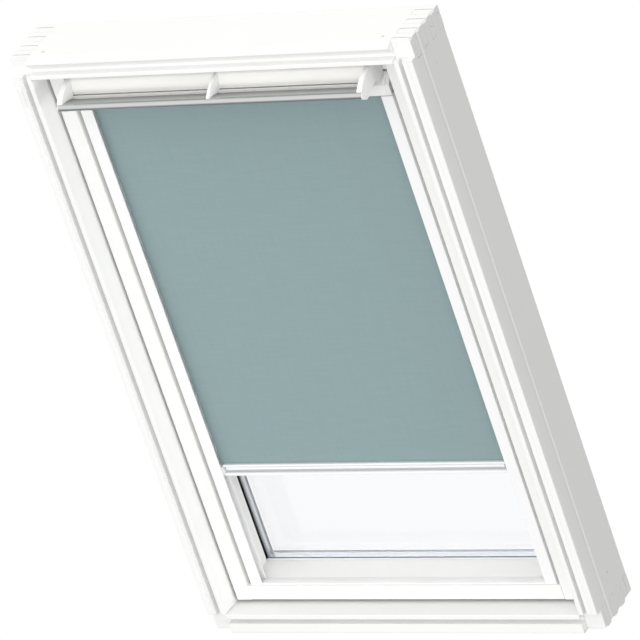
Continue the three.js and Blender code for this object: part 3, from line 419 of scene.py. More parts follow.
def woven_blackout_cloth(colour):
    """Plain-woven polyester with a blackout coat behind: matt, with a fine regular weave
    and threads that vary a little in thickness and shade."""
    material, tree, place = start_material(
        "Woven blackout polyester", Roughness=0.88, Sheen_Weight=0.08, Sheen_Roughness=0.5,
        Specular_IOR_Level=0.25,
    )
    # The real threads are 0.4 mm apart. They are drawn 1.3 mm apart, so that the weave
    # shows in a picture of the whole window. A wave texture repeats each pi/10 of its scale.
    thread = per_metre(1.3) * math.pi / 10
    warp, weft = [
        add_node(tree, "ShaderNodeTexWave", {"bands_direction": direction}, {
            "Vector": place, "Scale": thread, "Distortion": 0.6, "Detail": 1.0, "Detail Scale": 0.4,
        })
        for direction in ("X", "Z")
    ]
    weave = add_node(tree, "ShaderNodeMath", {"operation": "MULTIPLY"}, {
        0: warp.outputs["Fac"], 1: weft.outputs["Fac"],
    })
    # Slubs: pairs of weft threads that swell over 60 mm, and of warp threads over 90 mm
    slubs = long_grain(tree, place, (60, 60, 2.6), detail=2.0)
    stripes = long_grain(tree, place, (2.6, 60, 90), detail=2.0)
    threads = add_node(tree, "ShaderNodeMath", {"operation": "ADD"}, {0: slubs, 1: stripes})
    shade = add_node(tree, "ShaderNodeMapRange", {}, {
        "Value": threads, "From Min": 0.7, "From Max": 1.3,
    })
    tone = add_node(tree, "ShaderNodeMix", COLOURED, {
        SHARE: shade, FIRST: shaded(colour, 0.975), SECOND: shaded(colour, 1.025),
    })
    gaps = add_node(tree, "ShaderNodeMapRange", {}, {"Value": weave, "To Min": 0.1, "To Max": 0.0})
    woven = add_node(tree, "ShaderNodeMix", COLOURED, {
        SHARE: gaps, FIRST: tone.outputs[MIXED], SECOND: linear("#4E5C60"),
    })
    surface = add_node(tree, "ShaderNodeBump", {}, {"Height": weave, "Distance": 0.05 * MM})
    slubbed = add_node(tree, "ShaderNodeBump", {}, {
        "Height": threads, "Distance": 0.03 * MM, "Normal": surface,
    })
    return finish(material, woven.outputs[MIXED], slubbed)


# Geometry node trees for what repeats

def open_tree(name, sizes):
    """A geometry tree with a geometry input, the named sizes and a material input."""
    tree = bpy.data.node_groups.new(name, "GeometryNodeTree")
    tree.interface.new_socket("Geometry", in_out="INPUT", socket_type="NodeSocketGeometry")
    for label, kind in sizes:
        tree.interface.new_socket(label, in_out="INPUT", socket_type=kind)
    tree.interface.new_socket("Material", in_out="INPUT", socket_type="NodeSocketMaterial")
    tree.interface.new_socket("Geometry", in_out="OUTPUT", socket_type="NodeSocketGeometry")
    given = add_node(tree, "NodeGroupInput", {}, {})
    return tree, given


def close_tree(tree, given, instances):
    """Ends a tree in real geometry with its material."""
    real = add_node(tree, "GeometryNodeRealizeInstances", {}, {"Geometry": instances})
    dressed = add_node(tree, "GeometryNodeSetMaterial", {}, {
        "Geometry": real, "Material": given.outputs["Material"],
    })
    add_node(tree, "NodeGroupOutput", {}, {0: dressed})
    return tree


def screw_tree():
    """A low domed head with a cross recess on each point, facing along its attribute."""
    tree, given = open_tree("Cross-recess screws", (
        ("Head Radius", "NodeSocketFloat"),
        ("Head Height", "NodeSocketFloat"),
        ("Recess Width", "NodeSocketFloat"),
        ("Seed", "NodeSocketInt"),
    ))
    radius = given.outputs["Head Radius"]
    height = given.outputs["Head Height"]
    width = given.outputs["Recess Width"]
    ball = add_node(tree, "GeometryNodeMeshUVSphere", {}, {
        "Segments": 20, "Rings": 10, "Radius": radius,
    })
    flatness = add_node(tree, "ShaderNodeMath", {"operation": "DIVIDE"}, {0: height, 1: radius})
    squash = add_node(tree, "ShaderNodeCombineXYZ", {}, {"X": 1.0, "Y": 1.0, "Z": flatness})
    dome = add_node(tree, "GeometryNodeTransform", {}, {"Geometry": ball, "Scale": squash})
    # The recess is cut from above with two slots
    length_share, depth_share = 1.15, 1.3
    length = add_node(tree, "ShaderNodeMath", {"operation": "MULTIPLY"}, {0: radius, 1: length_share})
    depth = add_node(tree, "ShaderNodeMath", {"operation": "MULTIPLY"}, {0: height, 1: depth_share})
    lift = add_node(tree, "ShaderNodeCombineXYZ", {}, {"Z": height})
    cutters = add_node(tree, "GeometryNodeJoinGeometry", {}, {})
    for across, along in ((length, width), (width, length)):
        size = add_node(tree, "ShaderNodeCombineXYZ", {}, {"X": across, "Y": along, "Z": depth})
        slot_box = add_node(tree, "GeometryNodeMeshCube", {}, {"Size": size})
        placed = add_node(tree, "GeometryNodeTransform", {}, {
            "Geometry": slot_box, "Translation": lift,
        })
        tree.links.new(placed.outputs[0], cutters.inputs[0])
    head = add_node(tree, "GeometryNodeMeshBoolean", {"operation": "DIFFERENCE", "solver": "EXACT"}, {
        "Mesh 1": dome, "Mesh 2": cutters, "Self Intersection": True,
    })
    facing = add_node(tree, "GeometryNodeInputNamedAttribute", {"data_type": "FLOAT_VECTOR"}, {
        "Name": "facing",
    })
    turn = add_node(tree, "FunctionNodeRandomValue", {"data_type": "FLOAT"}, {
        LEAST: 0.0, MOST: math.tau, "Seed": given.outputs["Seed"],
    })
    stand = add_node(tree, "FunctionNodeAlignRotationToVector", {"axis": "Z"}, {"Vector": facing})
    spin = add_node(tree, "FunctionNodeAxisAngleToRotation", {}, {
        "Axis": (0.0, 0.0, 1.0), "Angle": turn.outputs[DRAWN],
    })
    turned = add_node(tree, "FunctionNodeRotateRotation", {"rotation_space": "LOCAL"}, {
        0: stand, 1: spin,
    })
    screws = add_node(tree, "GeometryNodeInstanceOnPoints", {}, {
        "Points": given.outputs["Geometry"],
        "Instance": head,
        "Rotation": turned,
    })
    return close_tree(tree, given, screws)


def perforation_tree():
    """A row of small round holes, drawn as dark studs that stand just clear of the strip; their dark
    is painted shade for the holes' depth.
    """
    tree, given = open_tree("Perforation rows", (
        ("Pitch", "NodeSocketFloat"),
        ("Hole Radius", "NodeSocketFloat"),
        ("Stand Out", "NodeSocketFloat"),
    ))
    rows = add_node(tree, "GeometryNodeMeshToCurve", {}, {"Mesh": given.outputs["Geometry"]})
    spots = add_node(tree, "GeometryNodeCurveToPoints", {"mode": "LENGTH"}, {
        "Curve": rows, "Length": given.outputs["Pitch"],
    })
    stud = add_node(tree, "GeometryNodeMeshCylinder", {}, {
        "Vertices": 8, "Radius": given.outputs["Hole Radius"], "Depth": given.outputs["Stand Out"],
    })
    facing = add_node(tree, "GeometryNodeInputNamedAttribute", {"data_type": "FLOAT_VECTOR"}, {
        "Name": "facing",
    })
    stand = add_node(tree, "FunctionNodeAlignRotationToVector", {"axis": "Z"}, {"Vector": facing})
    studs = add_node(tree, "GeometryNodeInstanceOnPoints", {}, {
        "Points": spots,
        "Instance": stud,
        "Rotation": stand,
    })
    return close_tree(tree, given, studs)


def block_tree():
    """A block of one size on each point."""
    tree, given = open_tree("Equal blocks", (("Size", "NodeSocketVector"),))
    block = add_node(tree, "GeometryNodeMeshCube", {}, {"Size": given.outputs["Size"]})
    blocks = add_node(tree, "GeometryNodeInstanceOnPoints", {}, {
        "Points": given.outputs["Geometry"],
        "Instance": block,
    })
    return close_tree(tree, given, blocks)


def grow(name, points, edges, facings, tree, values, body):
    """Runs a tree on points, each with the way it faces, and keeps the result as a plain mesh."""
    mesh = bpy.data.meshes.new(name + "_points")
    mesh.from_pydata(points, edges, [])
    facing = mesh.attributes.new("facing", "FLOAT_VECTOR", "POINT")
    facing.data.foreach_set("vector", [c for direction in facings for c in direction])
    piece = bpy.data.objects.new(name, mesh)
    bpy.context.scene.collection.objects.link(piece)
    modifier = piece.modifiers.new("Grow", "NODES")
    modifier.node_group = tree
    for socket in tree.interface.items_tree:
        if socket.in_out == "INPUT" and socket.name in values:
            modifier[socket.identifier] = values[socket.name]
    graph = bpy.context.evaluated_depsgraph_get()
    made = bpy.data.meshes.new_from_object(piece.evaluated_get(graph))
    if not made.polygons:
        raise RuntimeError(f"{name} came out empty")
    piece.modifiers.remove(modifier)
    piece.data = made
    return carry(piece, body)


# Sizes and colours that a user would change

def length_of(name, description, default, least):
    """A size whose default and least value are given in millimetres."""
    return FloatProperty(
        name=name, description=description, default=default * MM, min=least * MM, unit="LENGTH",
    )


def colour_of(name, description, default):
    """A colour whose default is an sRGB hex colour."""
    return FloatVectorProperty(
        name=name, description=description, default=linear(default), subtype="COLOR", size=4,
        min=0, max=1,
    )


class RoofWindowSizes(bpy.types.PropertyGroup):
    screw_radius: length_of(
        "Screw head radius", "Radius of the plate and cover screws' heads", 3.4, 0.5,
    )
    screw_height: length_of("Screw head height", "How far a screw's head stands out", 1.1, 0.1)
    screw_seed: IntProperty(
        name="Screw seed", description="Seed of the turn of each screw's recess", default=7,
    )
    cover_screws: IntProperty(
        name="Screws per side cover", description="Screws along each outside cover", default=5, min=2,
    )
    perforation_pitch: length_of(
        "Perforation pitch", "Distance between the holes in the glazing's spacer", 6, 1,
    )
    bead_width: length_of(
        "Glazing bead width", "Width of the rubber bead on the outer pane", 0.6, 0.2,
    )
    bead_height: length_of(
        "Glazing bead height", "How far the bead climbs up the covers' lips", 2.4, 0.5,
    )
    cloth_thickness: length_of("Cloth thickness", "Thickness of the blind's cloth", 0.4, 0.1)
    floor_drop: length_of("Floor drop", "How far the studio floor lies below the window", 1000, 0)


class RoofWindowColours(bpy.types.PropertyGroup):
    frame_paint: colour_of("Frame paint", "Colour of the painted frame", "#F0F0EF")
    sash_paint: colour_of("Sash paint", "Colour of the painted sash", "#F1F1EF")
    rail_coat: colour_of("Rail coat", "Colour of the blind's box, rails and bottom bar", "#F2F2F2")
    flap_coat: colour_of("Flap coat", "Colour of the ventilation flap", "#F3F2EE")
    plastic: colour_of("Plastic", "Colour of the moulded parts", "#ECECEB")
    cloth: colour_of("Cloth", "Colour of the blind's cloth", "#8CA0A2")


def sizes():
    return bpy.context.scene.roof_window_sizes


def colours():
    return bpy.context.scene.roof_window_colours


# Finishes that several pieces share, each made once

def steel():
    return bpy.data.materials.get("Zinc-plated pressed steel") or zinc_plated_steel()


def plastic():
    return bpy.data.materials.get("Moulded white ASA") or moulded_plastic(tuple(colours().plastic))


def rubber(along):
    name = f"Extruded black EPDM along {along}"
    return bpy.data.materials.get(name) or extruded_rubber(name, along, "#26282A", "#3A3C3E")


# Black rubber painted pale, as painted light: the beads and the gaskets across the window take this
# lit copy
def rubber_painted_pale_as_light():
    name = "EPDM painted pale as light"
    return bpy.data.materials.get(name) or extruded_rubber(name, "X", "#E6E8EA", "#F0F1F2")


def rail_coat(name="White powder-coated aluminium", hollows=None):
    found = bpy.data.materials.get(name)
    coated = tuple(colours().rail_coat)
    return found or powder_coat(name, coated, roughness=(0.32, 0.44), edge=0.4 * MM, hollows=hollows)


def screws(name, places, body, radius_share=1.0):
    """Cross-recess screws at (point, facing) places."""
    recess_share = 0.3
    values = {
        "Head Radius": sizes().screw_radius * radius_share,
        "Head Height": sizes().screw_height,
        "Recess Width": recess_share * sizes().screw_radius * radius_share,
        "Seed": sizes().screw_seed,
        "Material": steel(),
    }
    tree = bpy.data.node_groups.get("Cross-recess screws") or screw_tree()
    points = [point for point, _ in places]
    facings = [facing for _, facing in places]
    return grow(name, points, [], facings, tree, values, body)


class ROOFWINDOW_OT_frame(bpy.types.Operator):
    """Paint the frame's four members, blacken its seals, and fill its corner joints with painted shade
    and white filler
    """
    bl_idname = "roof_window.frame"
    bl_label = "Frame"

    def execute(self, context):
        paint = tuple(colours().frame_paint)
        across = sprayed_paint_on_pine("White paint on pine, across", paint, "X")
        upright = sprayed_paint_on_pine("White paint on pine, upright", paint, "Z")
        coat(across, "head_member", "sill_member")
        coat(upright, "left_jamb", "right_jamb")
        coat(rubber("X"), "head_seal", "sill_seal")
        coat(rubber("Z"), "left_seal", "right_seal")
        self.fill_comb_gaps(upright)
        return {"FINISHED"}

    def fill_comb_gaps(self, filler):
        """The gap in front of each finger of the corner joints: dark strips of painted shade,
        for the gap's shadow, just below the head's top and the sill's foot, and white filler
        at the window's sides."""
        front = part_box("left_jamb")[0].y
        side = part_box("right_jamb")[1].x
        comb_start = 21.6 * MM
        finger_pitch = 29.83 * MM
        gap = 1.2 * MM
        clearance = 0.2 * MM
        set_backs = [front + comb_start + i * finger_pitch + gap / 2 for i in range(4)]
        # Dark strips of painted shade stand for the shadow in each comb gap
        painted_gap_shade = extruded_rubber("Dark joint sealant", "X", "#3B3A38", "#4A4946")
        tree = block_tree()
        # The jambs are cut back at the foot's rear, so the sill's last gap is open
        for member, face, inwards, count in (
            ("head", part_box("head_member")[1].z, -1, 4),
            ("sill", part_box("sill_member")[0].z, 1, 3),
        ):
            # Each runs between two insets from the side and two from the end, in millimetres
            for kind, from_side, from_end, material, slot in (
                ("painted_gap_shade", (5.5, 36.1), (0.3, 6.3), painted_gap_shade, "rubber_seal"),
                ("filler", (0.1, 3.7), (3.9, 39), filler, "painted_frame"),
            ):
                x = side - sum(from_side) / 2 * MM
                z = face + inwards * sum(from_end) / 2 * MM
                points = [(end * x, y, z) for end in (-1, 1) for y in set_backs[:count]]
                width, height = [(far - near) * MM for near, far in (from_side, from_end)]
                size = (width, gap - clearance, height)
                grow(f"{member}_comb_{kind}", points, [], [(0, 0, 1)] * len(points), tree, {
                    "Size": size, "Material": material,
                }, "frame")


class ROOFWINDOW_OT_sash(bpy.types.Operator):
    """Paint the sash's stiles and rails"""
    bl_idname = "roof_window.sash"
    bl_label = "Sash"

    def execute(self, context):
        paint = tuple(colours().sash_paint)
        across = sprayed_paint_on_pine("Warm white paint on pine, across", paint, "X")
        upright = sprayed_paint_on_pine("Warm white paint on pine, upright", paint, "Z")
        coat(across, "sash_top_rail", "sash_bottom_rail")
        coat(upright, "left_stile", "right_stile")
        return {"FINISHED"}


class ROOFWINDOW_OT_glazing(bpy.types.Operator):
    """Clear the panes, finish the spacers with their perforations, and lay the beads"""
    bl_idname = "roof_window.glazing"
    bl_label = "Glazing"

    def execute(self, context):
        coat(float_glass(), "inner_pane", "outer_pane")
        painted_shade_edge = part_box("left_spacer")[0].y
        # The upright spacers darken towards the room-side pane as painted shade. The spacers across
        # are painted in darker colours, as painted shade, and have no such fade.
        upright = spacer_aluminium(
            "Mill-finish spacer with painted shade at the room side", painted_shade_edge + PAINTED_SHADE_DEPTH, "#C9CED3", "#DADEE2",
        )
        across = spacer_aluminium("Mill-finish spacer painted darker as shade", painted_shade_edge, "#8E9296", "#A0A4A8")
        coat(upright, "left_spacer", "right_spacer")
        coat(across, "bottom_spacer", "top_spacer")
        coat(rubber("Z"), "left_gasket", "right_gasket")
        # The gaskets across the window are painted pale, as painted light; the upright ones stay black
        coat(rubber_painted_pale_as_light(), "bottom_gasket", "top_gasket")
        self.perforate()
        self.lay_bead()
        return {"FINISHED"}

    def perforate(self):
        """One row of holes along the middle of each spacer's inner face."""
        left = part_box("left_spacer")[1]
        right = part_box("right_spacer")[0]
        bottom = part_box("bottom_spacer")[1]
        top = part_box("top_spacer")[0]
        middle = (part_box("left_spacer")[0].y + left.y) / 2
        inset = sizes().perforation_pitch
        corners = [
            ((left.x, middle, bottom.z + inset), (left.x, middle, top.z - inset), (1, 0, 0)),
            ((right.x, middle, bottom.z + inset), (right.x, middle, top.z - inset), (-1, 0, 0)),
            ((left.x + inset, middle, bottom.z), (right.x - inset, middle, bottom.z), (0, 0, 1)),
            ((left.x + inset, middle, top.z), (right.x - inset, middle, top.z), (0, 0, -1)),
        ]
        points = [point for start, end, _ in corners for point in (start, end)]
        facings = [facing for _, _, facing in corners for _ in range(2)]
        edges = [(2 * i, 2 * i + 1) for i in range(len(corners))]
        grow("spacer_perforations", points, edges, facings, perforation_tree(), {
            "Pitch": sizes().perforation_pitch,
            "Hole Radius": 0.55 * MM,
            "Stand Out": 0.1 * MM,
            # The studs take the black rubber as painted shade of the holes
            "Material": rubber("X"),
        }, "sash")

    def lay_bead(self):
        """A rubber bead in the corner between the covers' lips and the outer pane, and one on
        the room side, where the inner pane meets the bottom rail. Both are painted pale, as
        painted light."""
        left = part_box("left_cover")[1].x
        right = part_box("right_cover")[0].x
        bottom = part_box("bottom_cover")[1].z
        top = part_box("top_cover")[0].z
        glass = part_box("outer_pane")[1].y
        width = sizes().bead_width
        height = sizes().bead_height
        shoulder = 0.8 * height
        section = [
            (0, glass),
            (width, glass),
            (width, glass + shoulder),
            (width / 2, glass + height),
            (0, glass + height),
        ]
        bead = ring_piece("outer_glazing_bead", (left, bottom), (right, top), section, rubber_painted_pale_as_light())
        carry(bead, "sash")
        gap = 0.1 * MM
        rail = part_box("sash_bottom_rail")[1].z
        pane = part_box("inner_pane")[0].y
        tip = 0.6 * MM
        foot = 1.6 * MM
        fillet = [
            (pane - gap, rail + gap),
            (pane - gap, rail + height),
            (pane - tip, rail + height),
            (pane - foot, rail + gap),
        ]
        glass_span = (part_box("left_stile")[1].x + gap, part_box("right_stile")[0].x - gap)
        room_bead = bar_along_x("room_side_glazing_bead", glass_span, fillet, rubber_painted_pale_as_light())
        carry(room_bead, "sash")


class ROOFWINDOW_OT_covers(bpy.types.Operator):
    """Finish the outside covers and their screws"""
    bl_idname = "roof_window.covers"
    bl_label = "Outside covers"

    def execute(self, context):
        sides = ("left", "right", "bottom", "top")
        coat(coil_coated_aluminium(), *[f"{side}_cover" for side in sides])
        places = []
        for side in sides:
            low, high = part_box(f"{side}_cover")
            middle = (low + high) / 2
            upright = side in ("left", "right")
            count = sizes().cover_screws if upright else sizes().cover_screws - 2
            for i in range(count):
                share = (i + 0.5) / count - 0.5
                x = middle.x if upright else middle.x + share * (high.x - low.x)
                z = middle.z + share * (high.z - low.z) if upright else middle.z
                places.append(((x, high.y, z), (0, 1, 0)))
        screws("cover_screws", places, "sash")
        return {"FINISHED"}


class ROOFWINDOW_OT_pivots(bpy.types.Operator):
    """Finish the pivots and the screws that hold their plates"""
    bl_idname = "roof_window.pivots"
    bl_label = "Pivots"

    def execute(self, context):
        coat(steel(), "left_frame_hinge", "right_frame_hinge", "left_sash_hinge", "right_sash_hinge")
        screw_shares = (-0.4, -0.26, 0.26, 0.4)
        for part in ("frame", "sash"):
            places = []
            for side, out in (("left", -1), ("right", 1)):
                low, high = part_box(f"{side}_{part}_hinge")
                face = self.face(part, side, low, high)
                facing = (out if part == "sash" else -out, 0, 0)
                middle = (low + high) / 2
                for share in screw_shares:
                    place = (face, middle.y, middle.z + share * (high.z - low.z))
                    places.append((place, facing))
            screws(f"{part}_hinge_screws", places, part, radius_share=0.9)
        return {"FINISHED"}

    def face(self, part, side, low, high):
        """The X of the face that takes the screws. The frame's plates face the sash, and
        the sash's lie flush with its edges."""
        if part == "frame":
            return high.x if side == "left" else low.x
        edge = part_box(f"{side}_stile")
        return edge[0].x if side == "left" else edge[1].x


class ROOFWINDOW_OT_latch(bpy.types.Operator):
    """Finish the latch and its keeper"""
    bl_idname = "roof_window.latch"
    bl_label = "Latch"

    def execute(self, context):
        coat(steel(), "latch_case", "latch_tongue", "keeper_plate")
        low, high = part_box("keeper_plate")
        plate_thickness = 1.5 * MM
        underside = high.z - plate_thickness
        depth_share, width_share = 0.6, 0.65
        depth = low.y + depth_share * (high.y - low.y)
        x = width_share * high.x
        places = [((side * x, depth, underside), (0, 0, -1)) for side in (-1, 1)]
        screws("keeper_screws", places, "frame", radius_share=0.8)
        return {"FINISHED"}


class ROOFWINDOW_OT_control_bar(bpy.types.Operator):
    """Finish the control bar with painted shade towards its tail, its brackets, and the ventilation
    flap with a strip of painted shade at its foot
    """
    bl_idname = "roof_window.control_bar"
    bl_label = "Control bar"

    def execute(self, context):
        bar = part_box("control_bar")
        coat(anodised_aluminium(bar[0].y, bar[1].y), "control_bar")
        lacquer = powder_coat(
            "Off-white lacquered flap", tuple(colours().flap_coat),
            roughness=(0.3, 0.42), edge=0.5 * MM,
        )
        coat(lacquer, "vent_flap")
        coat(plastic(), "left_bracket", "right_bracket", "middle_bracket")
        coat(plastic(), "left_bar_cap", "right_bar_cap")
        coat(steel(), "left_bar_hinge", "right_bar_hinge")
        hinge = Vector(JOINTS["control_bar_hinge"]["pos_m"])
        places = []
        for side, out in (("left", -1), ("right", 1)):
            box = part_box(f"{side}_bar_hinge")
            x = box[0].x if out > 0 else box[1].x
            places.append(((x, hinge.y, hinge.z), (-out, 0, 0)))
        screws("bar_pivot_screws", places, "sash", radius_share=0.9)
        self.shade_flap_foot()
        return {"FINISHED"}

    def shade_flap_foot(self):
        """A grey strip of painted shade on the flap's ledge, for the shadow at the flap's foot, in two
        lengths between the brackets.
        """
        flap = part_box("vent_flap")[0]
        ledge_thickness = 3 * MM
        clearance = 0.05 * MM
        foot = flap.z + ledge_thickness + clearance
        front = flap.y + 2.6 * MM
        back = flap.y + 5.2 * MM
        front_height = 0.55 * MM
        back_height = 0.75 * MM
        section = [
            (front, foot),
            (back, foot),
            (back, foot + back_height),
            (front, foot + front_height),
        ]
        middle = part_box("middle_bracket")
        gap = 0.3 * MM
        spans = (
            ("left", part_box("left_bracket")[1].x + gap, middle[0].x - gap),
            ("right", middle[1].x + gap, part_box("right_bracket")[0].x - gap),
        )
        # Grey rubber as painted shade for the shadow at the flap's foot
        painted_shade_edge = extruded_rubber("Painted shade at the flap's foot", "X", "#6E7071", "#7E8081")
        for side, start, stop in spans:
            strip = bar_along_x(f"{side}_flap_foot_shade", (start, stop), section, painted_shade_edge)
            carry(strip, "control_bar")


class ROOFWINDOW_OT_blind(bpy.types.Operator):
    """Finish the blind's box, roller, rails and bottom bar"""
    bl_idname = "roof_window.blind"
    bl_label = "Blind"

    def execute(self, context):
        coat(rail_coat(), "blind_box", "left_side_rail", "right_side_rail", "landing_strip")
        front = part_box("bottom_bar")[0].y
        # Painted shade greys the bottom bar's coat in its hollows, from 2.4 mm to 7.4 mm behind its
        # front
        hollows = (front + 2.4 * MM, front + 7.4 * MM)
        coat(rail_coat("White powder-coated bar with painted shade in its hollows", hollows), "bottom_bar")
        coat(steel(), "roller_tube", "left_box_clip", "right_box_clip")
        for side in ("left", "right"):
            coat(plastic(), f"{side}_end_cap", f"{side}_tube_plug", f"{side}_slider")
        return {"FINISHED"}


class ROOFWINDOW_OT_cloth(bpy.types.Operator):
    """Hang the cloth from the roller to the bottom bar, and wind the rest on the tube"""
    bl_idname = "roof_window.cloth"
    bl_label = "Cloth"

    def execute(self, context):
        cloth = woven_blackout_cloth(tuple(colours().cloth))
        self.hang(cloth)
        self.wind(cloth)
        return {"FINISHED"}

    def hang(self, cloth):
        """The drawn stretch: one row of points above the box's slot and one in the bar."""
        low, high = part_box("blind_cloth")
        middle = (low.y + high.y) / 2
        half = sizes().cloth_thickness / 2
        bar_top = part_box("bottom_bar")[1].z
        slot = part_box("blind_box")[0].z
        run_in = 8 * MM
        heights = (low.z, bar_top, slot + run_in, high.z)
        edges = [(middle - half, z) for z in heights] + [(middle + half, z) for z in reversed(heights)]
        piece = bar_along_x("drawn_cloth", (low.x, high.x), edges, cloth)
        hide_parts("blind_cloth")
        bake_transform(piece)

    def wind(self, cloth):
        """The wound stretch: a spiral of real layers round the tube."""
        low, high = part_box("wound_cloth")
        centre = (low + high) / 2
        outer = (high.z - low.z) / 2
        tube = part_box("roller_tube")
        seat = 0.1 * MM
        inner = (tube[1].z - tube[0].z) / 2 + seat
        thickness = sizes().cloth_thickness
        drawn_thickness = 0.92 * thickness
        turns = (outer - inner) / thickness - 1
        steps_a_turn = 24
        steps = steps_a_turn * math.ceil(turns)
        rows = []
        for offset in (0, drawn_thickness):
            row = []
            for i in range(steps + 1):
                angle = math.tau * turns * i / steps
                radius = inner + offset + thickness * turns * i / steps
                row.append((centre.y - radius * math.cos(angle), centre.z + radius * math.sin(angle)))
            rows.append(row)
        section = rows[0] + rows[1][::-1]
        count = len(section)
        vertices = [(x, y, z) for x in (low.x, high.x) for y, z in section]
        faces = [(i, (i + 1) % count, count + (i + 1) % count, count + i) for i in range(count)]
        for base in (0, count):
            for i in range(steps):
                faces.append((base + i, base + i + 1, base + count - 2 - i, base + count - 1 - i))
        piece = new_piece("wound_cloth_roll", vertices, faces, cloth)
        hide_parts("wound_cloth")
        carry(piece, "roller")


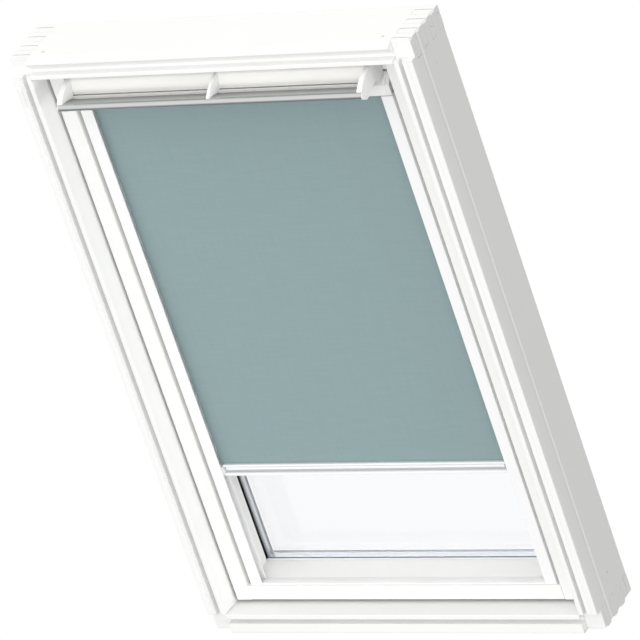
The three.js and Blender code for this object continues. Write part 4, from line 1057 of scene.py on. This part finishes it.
class ROOFWINDOW_OT_stage(bpy.types.Operator):
    """Set the pale floor, the soft lights and the camera"""
    bl_idname = "roof_window.stage"
    bl_label = "Studio"

    def execute(self, context):
        scene = context.scene
        self.lay_floor()
        self.light_sky(scene)
        for name, place, target, width, height, power, spread in (
            ("Key light", (1.4, -7.0, 1.8), (0, 0, 0.6), 2.4, 2.4, 110, 180),
            ("Reveal light", (1.6, -0.45, 0.59), (-0.36, -0.03, 0.59), 0.12, 1.3, 0.2, 12),
        ):
            lamp = bpy.data.lights.new(name, "AREA")
            lamp.shape = "RECTANGLE"
            lamp.size = width
            lamp.size_y = height
            lamp.energy = power
            lamp.spread = math.radians(spread)
            holder = bpy.data.objects.new(name, lamp)
            holder.visible_camera = False
            holder.visible_glossy = False
            holder.visible_transmission = False
            holder.location = place
            aim = Vector(target) - Vector(place)
            holder.rotation_euler = aim.to_track_quat("-Z", "Y").to_euler()
            scene.collection.objects.link(holder)
        self.place_camera(scene)
        scene.view_settings.view_transform = "Standard"
        return {"FINISHED"}

    def lay_floor(self):
        material, tree, place = start_material(
            "Pale studio floor", Base_Color=linear("#000000"), Roughness=0.9,
            Emission_Strength=1.06, Specular_IOR_Level=0.0,
        )
        # Clouds of 2.5 m
        clouds = add_node(tree, "ShaderNodeTexNoise", {}, {"Vector": place, "Scale": per_metre(2500)})
        tone = add_node(tree, "ShaderNodeMix", COLOURED, {
            SHARE: clouds, FIRST: linear("#FBFBFB"), SECOND: linear("#F9F9F9"),
        })
        shader = tree.nodes["Principled BSDF"]
        tree.links.new(tone.outputs[MIXED], shader.inputs["Emission Color"])
        height = CAD_BOX[0].z - sizes().floor_drop
        reach = 40.0
        mesh = bpy.data.meshes.new("studio_floor")
        corners = [(-reach, -reach), (reach, -reach), (reach, reach), (-reach, reach)]
        mesh.from_pydata([(x, y, height) for x, y in corners], [], [(0, 1, 2, 3)])
        mesh.materials.append(material)
        floor = bpy.data.objects.new("studio_floor", mesh)
        bpy.context.scene.collection.objects.link(floor)
        floor.visible_diffuse = False
        floor.visible_glossy = False

    def light_sky(self, scene):
        world = bpy.data.worlds.new("Studio surround")
        world.use_nodes = True
        tree = world.node_tree
        back = tree.nodes["Background"]
        view = add_node(tree, "ShaderNodeTexCoord", {}, {}).outputs["Generated"]
        parts = add_node(tree, "ShaderNodeSeparateXYZ", {}, {0: view})
        ramps = {}
        for name, axis, start, stop, low, high, easing in (
            ("front", "Y", -0.35, 0.35, 1.0, 0.0, "SMOOTHSTEP"),
            ("height", "Z", -0.7, 0.15, 0.25, 1.0, "LINEAR"),
            ("side", "X", -1.0, 1.0, 1.0, 1.2, "LINEAR"),
            ("ceiling", "Z", 0.25, 0.75, 0.0, 1.18, "SMOOTHSTEP"),
            ("band", "Z", -0.55, 0.2, 0.25, 1.1, "SMOOTHSTEP"),
        ):
            ramps[name] = add_node(tree, "ShaderNodeMapRange", {"interpolation_type": easing}, {
                "Value": parts.outputs[axis], "From Min": start, "From Max": stop,
                "To Min": low, "To Max": high,
            })
        # Matt surfaces see a white wall in front, brighter to the right and above, a white
        # ceiling and a dim room behind
        room = 0.13
        soft = ramps["front"]
        for operation, value in (
            ("MULTIPLY", ramps["height"]),
            ("MULTIPLY", ramps["side"]),
            ("MAXIMUM", ramps["ceiling"]),
            ("ADD", room),
        ):
            soft = add_node(tree, "ShaderNodeMath", {"operation": operation}, {0: soft, 1: value})
        # Shiny surfaces see white all round, down to a dark floor
        path = add_node(tree, "ShaderNodeLightPath", {}, {})
        seen = add_node(tree, "ShaderNodeMix", {}, {
            SHARE: path.outputs["Is Diffuse Ray"],
            FIRST_NUMBER: ramps["band"], SECOND_NUMBER: soft,
        })
        # Light that comes in through the panes is the sky's
        sky = 3.4
        lit = add_node(tree, "ShaderNodeMix", {}, {
            SHARE: path.outputs["Is Transmission Ray"],
            FIRST_NUMBER: seen, SECOND_NUMBER: sky,
        })
        tree.links.new(lit.outputs[0], back.inputs["Strength"])
        back.inputs["Color"].default_value = linear("#FFFFFF")
        scene.world = world

    def place_camera(self, scene):
        """The photograph's view: a long lens from the right, well above, with the window
        leaning in the picture."""
        target = Vector((0, 0.0037, 0.6056))
        distance = 12.471
        azimuth, elevation, lean = (math.radians(angle) for angle in (35.02, 27.39, -19.21))
        lens = bpy.data.cameras.new("Camera")
        lens.lens = 411.4
        lens.sensor_width = 36.0
        lens.clip_start = 0.5
        lens.clip_end = 200.0
        camera = bpy.data.objects.new("Camera", lens)
        turn = (
            Matrix.Rotation(azimuth, 4, "Z")
            @ Matrix.Rotation(math.pi / 2 - elevation, 4, "X")
            @ Matrix.Rotation(lean, 4, "Z")
        )
        camera.matrix_world = Matrix.Translation(target) @ turn @ Matrix.Translation((0, 0, distance))
        scene.collection.objects.link(camera)
        scene.camera = camera


OPERATORS = (
    ROOFWINDOW_OT_stage,
    ROOFWINDOW_OT_frame,
    ROOFWINDOW_OT_sash,
    ROOFWINDOW_OT_glazing,
    ROOFWINDOW_OT_covers,
    ROOFWINDOW_OT_pivots,
    ROOFWINDOW_OT_latch,
    ROOFWINDOW_OT_control_bar,
    ROOFWINDOW_OT_blind,
    ROOFWINDOW_OT_cloth,
)


class ROOFWINDOW_PT_panel(bpy.types.Panel):
    """The window's pieces and their sizes and colours"""
    bl_idname = "ROOFWINDOW_PT_panel"
    bl_label = "Roof Window"
    bl_space_type = "VIEW_3D"
    bl_region_type = "UI"
    bl_category = "Roof Window"

    def draw(self, context):
        for group in (context.scene.roof_window_sizes, context.scene.roof_window_colours):
            for key in group.__annotations__:
                self.layout.prop(group, key)
        for operator in OPERATORS:
            self.layout.operator(operator.bl_idname)


CLASSES = (RoofWindowSizes, RoofWindowColours, *OPERATORS, ROOFWINDOW_PT_panel)


def register():
    for each in CLASSES:
        bpy.utils.register_class(each)
    bpy.types.Scene.roof_window_sizes = PointerProperty(type=RoofWindowSizes)
    bpy.types.Scene.roof_window_colours = PointerProperty(type=RoofWindowColours)


def unregister():
    del bpy.types.Scene.roof_window_colours
    del bpy.types.Scene.roof_window_sizes
    for each in reversed(CLASSES):
        bpy.utils.unregister_class(each)


def main():
    register()
    for operator in OPERATORS:
        group, name = operator.bl_idname.split(".")
        getattr(getattr(bpy.ops, group), name)()


if __name__ == "__main__":
    main()
